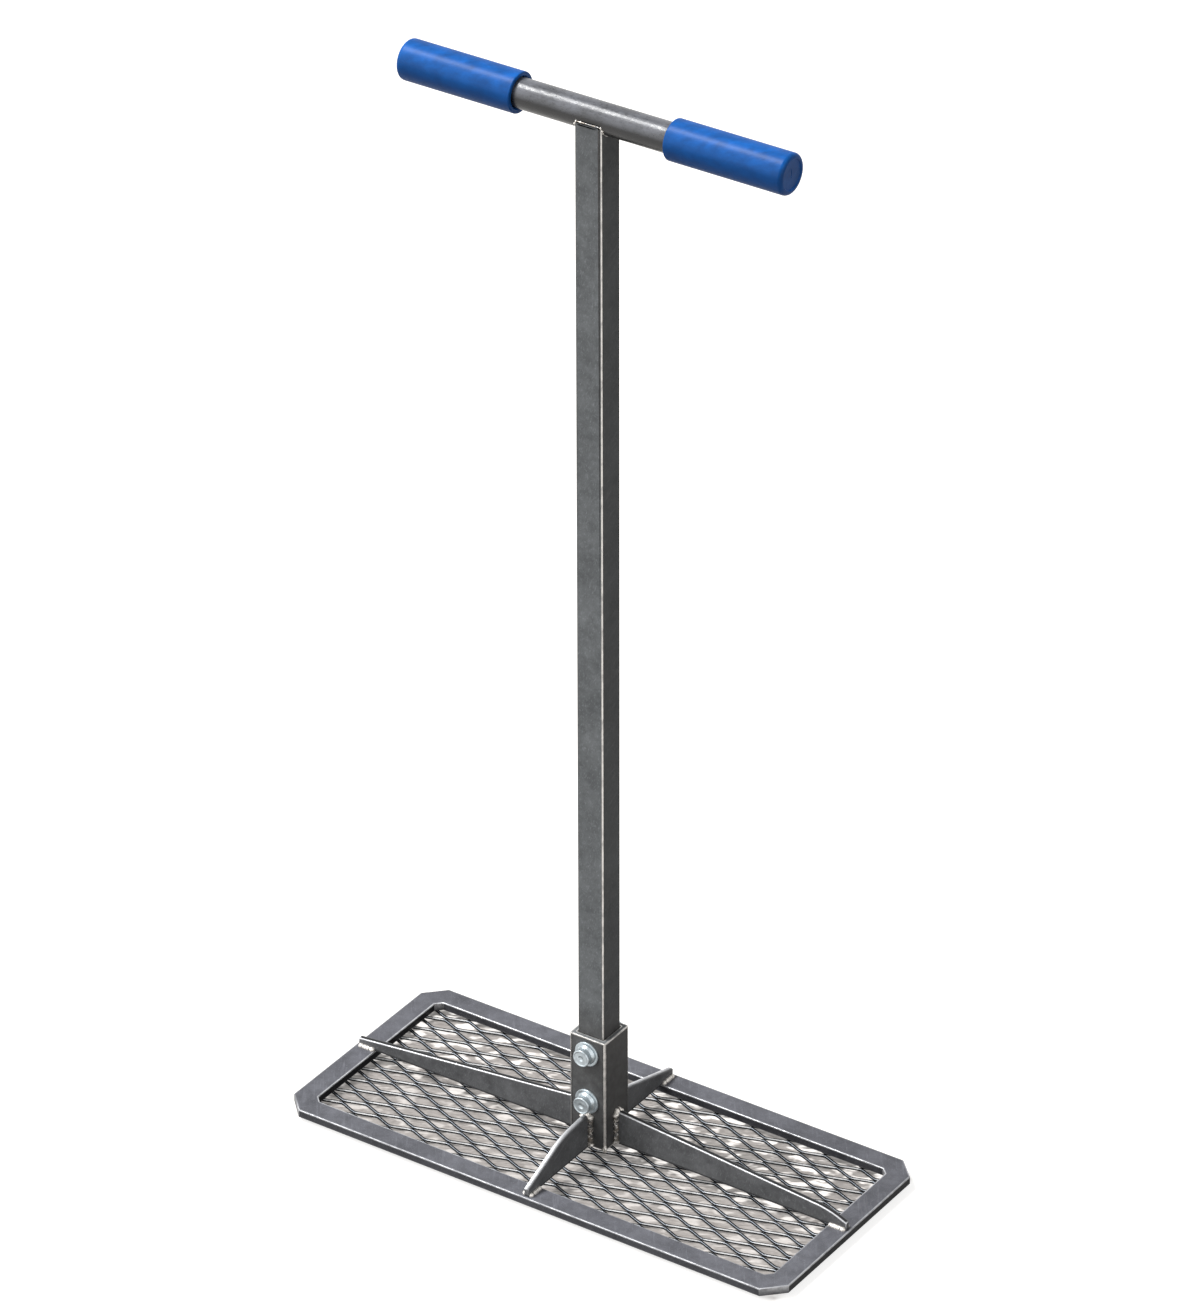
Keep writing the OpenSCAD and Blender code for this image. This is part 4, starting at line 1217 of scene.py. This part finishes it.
class TAMPER_OT_stage(bpy.types.Operator):
    """Makes the floor, the lamps, the room's light and the camera"""
    bl_idname = "tamper.stage"
    bl_label = "Stage"

    def execute(self, context):
        self.floor()
        self.lamps(context.scene.tamper.stage)
        self.room(context.scene, context.scene.tamper.stage)
        self.camera(context.scene, context.scene.tamper.stage)
        return {"FINISHED"}

    def floor(self):
        """A pale floor, which a camera or a reflection sees as white outside the shadows. Inside
        the base it is dimmed by painted shade, and carries painted streaks and patches of light.
        """
        mesh = bpy.data.meshes.new("floor")
        half = 12
        corners = [(-half, -half, 0), (half, -half, 0), (half, half, 0), (-half, half, 0)]
        mesh.from_pydata(corners, [], [(0, 1, 2, 3)])
        floor = bpy.data.objects.new("floor", mesh)
        bpy.context.collection.objects.link(floor)
        material, add, place = start_material("pale_floor")
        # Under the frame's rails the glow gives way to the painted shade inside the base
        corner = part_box("base_frame")[1]
        spot = add(SPLIT, {0: place}).outputs
        under_rail = 12 * MM
        past = [add(MATH, (add(MATH, (spot[axis],), operation="ABSOLUTE"),
                           corner[axis] - under_rail), operation="SUBTRACT") for axis in (0, 1)]
        outside = add(RANGE, (add(MATH, past, operation="MAXIMUM"), -10 * MM, 8 * MM))
        # Inside the base, painted light lies in streaks along the strands, with brighter painted
        # patches towards the back
        long_way, short_way = [add(MAPPING, {
            "Vector": place, "Rotation": (0, 0, math.radians(27)),
            "Scale": (stretch, 0.8, 1)}, vector_type="TEXTURE") for stretch in (3, 1.7)]
        streaks = add(NOISE, {
            "Vector": long_way, "Scale": per_feature(4), "Detail": 3, "Roughness": 0.65})
        patches = add(NOISE, {
            "Vector": short_way, "Scale": per_feature(15), "Detail": 2, "Roughness": 0.5})
        glare = add(MATH, (
            add(RANGE, (patches, 0.51, 0.62)),
            add(RANGE, (spot["Y"], -0.02, 0.02, 0.36, 0.95))), operation="MULTIPLY")
        inside = add(MATH, (add(RANGE, (streaks, 0.34, 0.66, 0.1, 0.32)), glare), operation="ADD")
        glow = add("ShaderNodeEmission", {
            "Color": add(MIX, {
                0: outside, 6: rgba("#f8f4f0"), 7: rgba("#ffffff")}, data_type="RGBA"),
            "Strength": add(MIX, {0: outside, 2: inside, 3: 0.8}, data_type="FLOAT")})
        # Painted shade: the floor's colour is darker inside the base
        paint = add("ShaderNodeBsdfDiffuse", {
            "Color": add(MIX, {
                0: outside, 6: rgba("#8b8581"), 7: rgba("#bdb9b4")}, data_type="RGBA")})
        lit = add("ShaderNodeAddShader", {0: paint, 1: glow})
        plain = add("ShaderNodeBsdfDiffuse", {"Color": rgba("#5c5a57")})
        either = add("ShaderNodeMixShader", {0: looked_at(add), 1: plain, 2: lit})
        add("ShaderNodeOutputMaterial", {"Surface": either})
        mesh.materials.append(material)

    def lamps(self, stage):
        for name, toward, spread, strength in (
                ("top_lamp", (-0.48, -0.17, 0.86), 16, stage.top_light),
                ("left_lamp", (-0.55, -0.72, 0.42), 60, stage.left_light),
                ("right_lamp", (0.9, -0.3, 0.3), 60, stage.right_light),
                ("back_lamp", (-0.3, 0.8, 0.5), 60, stage.back_light)):
            data = bpy.data.lights.new(name, "SUN")
            data.angle = math.radians(spread)
            data.energy = strength
            lamp = bpy.data.objects.new(name, data)
            bpy.context.collection.objects.link(lamp)
            lamp.location = Vector(toward) * 4
            lamp.rotation_mode = "QUATERNION"
            lamp.rotation_quaternion = Vector(toward).to_track_quat("Z", "Y")

    def room(self, scene, stage):
        """Even dim light, in a room that a camera or a reflection sees as white."""
        world = bpy.data.worlds.new("studio")
        scene.world = world
        world.use_nodes = True
        world.node_tree.nodes.clear()
        add = adder(world.node_tree)
        strength = add(RANGE, (looked_at(add), 0, 1, stage.room_light, 1))
        light = add("ShaderNodeBackground", {"Color": rgba("#ffffff"), "Strength": strength})
        add("ShaderNodeOutputWorld", {"Surface": light})

    def camera(self, scene, stage):
        """The photograph's camera, worked out from the base, the pole and the crossbar."""
        turn, tilt, roll = math.radians(34.081), math.radians(30.908), math.radians(-0.126)
        back = Vector((math.sin(turn) * math.cos(tilt), -math.cos(turn) * math.cos(tilt),
                       math.sin(tilt)))
        right = Vector((math.cos(turn), math.sin(turn), 0))
        up = back.cross(right)
        rolled_right = math.cos(roll) * right + math.sin(roll) * up
        rolled_up = -math.sin(roll) * right + math.cos(roll) * up
        data = bpy.data.cameras.new("camera")
        data.sensor_width = 36
        data.lens = stage.focal_length
        data.clip_end = 100
        camera = bpy.data.objects.new("camera", data)
        bpy.context.collection.objects.link(camera)
        axes = Matrix((rolled_right, rolled_up, back)).transposed().to_4x4()
        standpoint = (3.66648, -5.41899, 4.52219)
        camera.matrix_world = Matrix.Translation(standpoint) @ axes
        scene.camera = camera
        scene.view_settings.view_transform = "Standard"


OPERATORS = (
    TAMPER_OT_base_frame, TAMPER_OT_expanded_mesh, TAMPER_OT_plates, TAMPER_OT_tubes,
    TAMPER_OT_welds, TAMPER_OT_crossbar, TAMPER_OT_grips, TAMPER_OT_fasteners,
    TAMPER_OT_stage)


class TAMPER_PT_panel(bpy.types.Panel):
    """Lists the tamper's settings and its pieces"""
    bl_idname = "TAMPER_PT_panel"
    bl_label = "Concrete Tamper"
    bl_space_type = "VIEW_3D"
    bl_region_type = "UI"
    bl_category = "Tamper"

    def draw(self, context):
        settings = context.scene.tamper
        for group in (settings.colors, settings.sizes, settings.stage):
            box = self.layout.box()
            for name in group.__annotations__:
                box.prop(group, name)
        for operator in OPERATORS:
            self.layout.operator(operator.bl_idname)


CLASSES = (TamperColors, TamperSizes, TamperStage, TamperSettings, *OPERATORS,
           TAMPER_PT_panel)


def register():
    for kind in CLASSES:
        bpy.utils.register_class(kind)
    bpy.types.Scene.tamper = bpy.props.PointerProperty(type=TamperSettings)


def unregister():
    del bpy.types.Scene.tamper
    for kind in reversed(CLASSES):
        bpy.utils.unregister_class(kind)


def main():
    register()
    bpy.ops.tamper.base_frame()
    bpy.ops.tamper.expanded_mesh()
    bpy.ops.tamper.plates()
    bpy.ops.tamper.tubes()
    bpy.ops.tamper.welds()
    bpy.ops.tamper.crossbar()
    bpy.ops.tamper.grips()
    bpy.ops.tamper.fasteners()
    bpy.ops.tamper.stage()


if __name__ == "__main__":
    main()
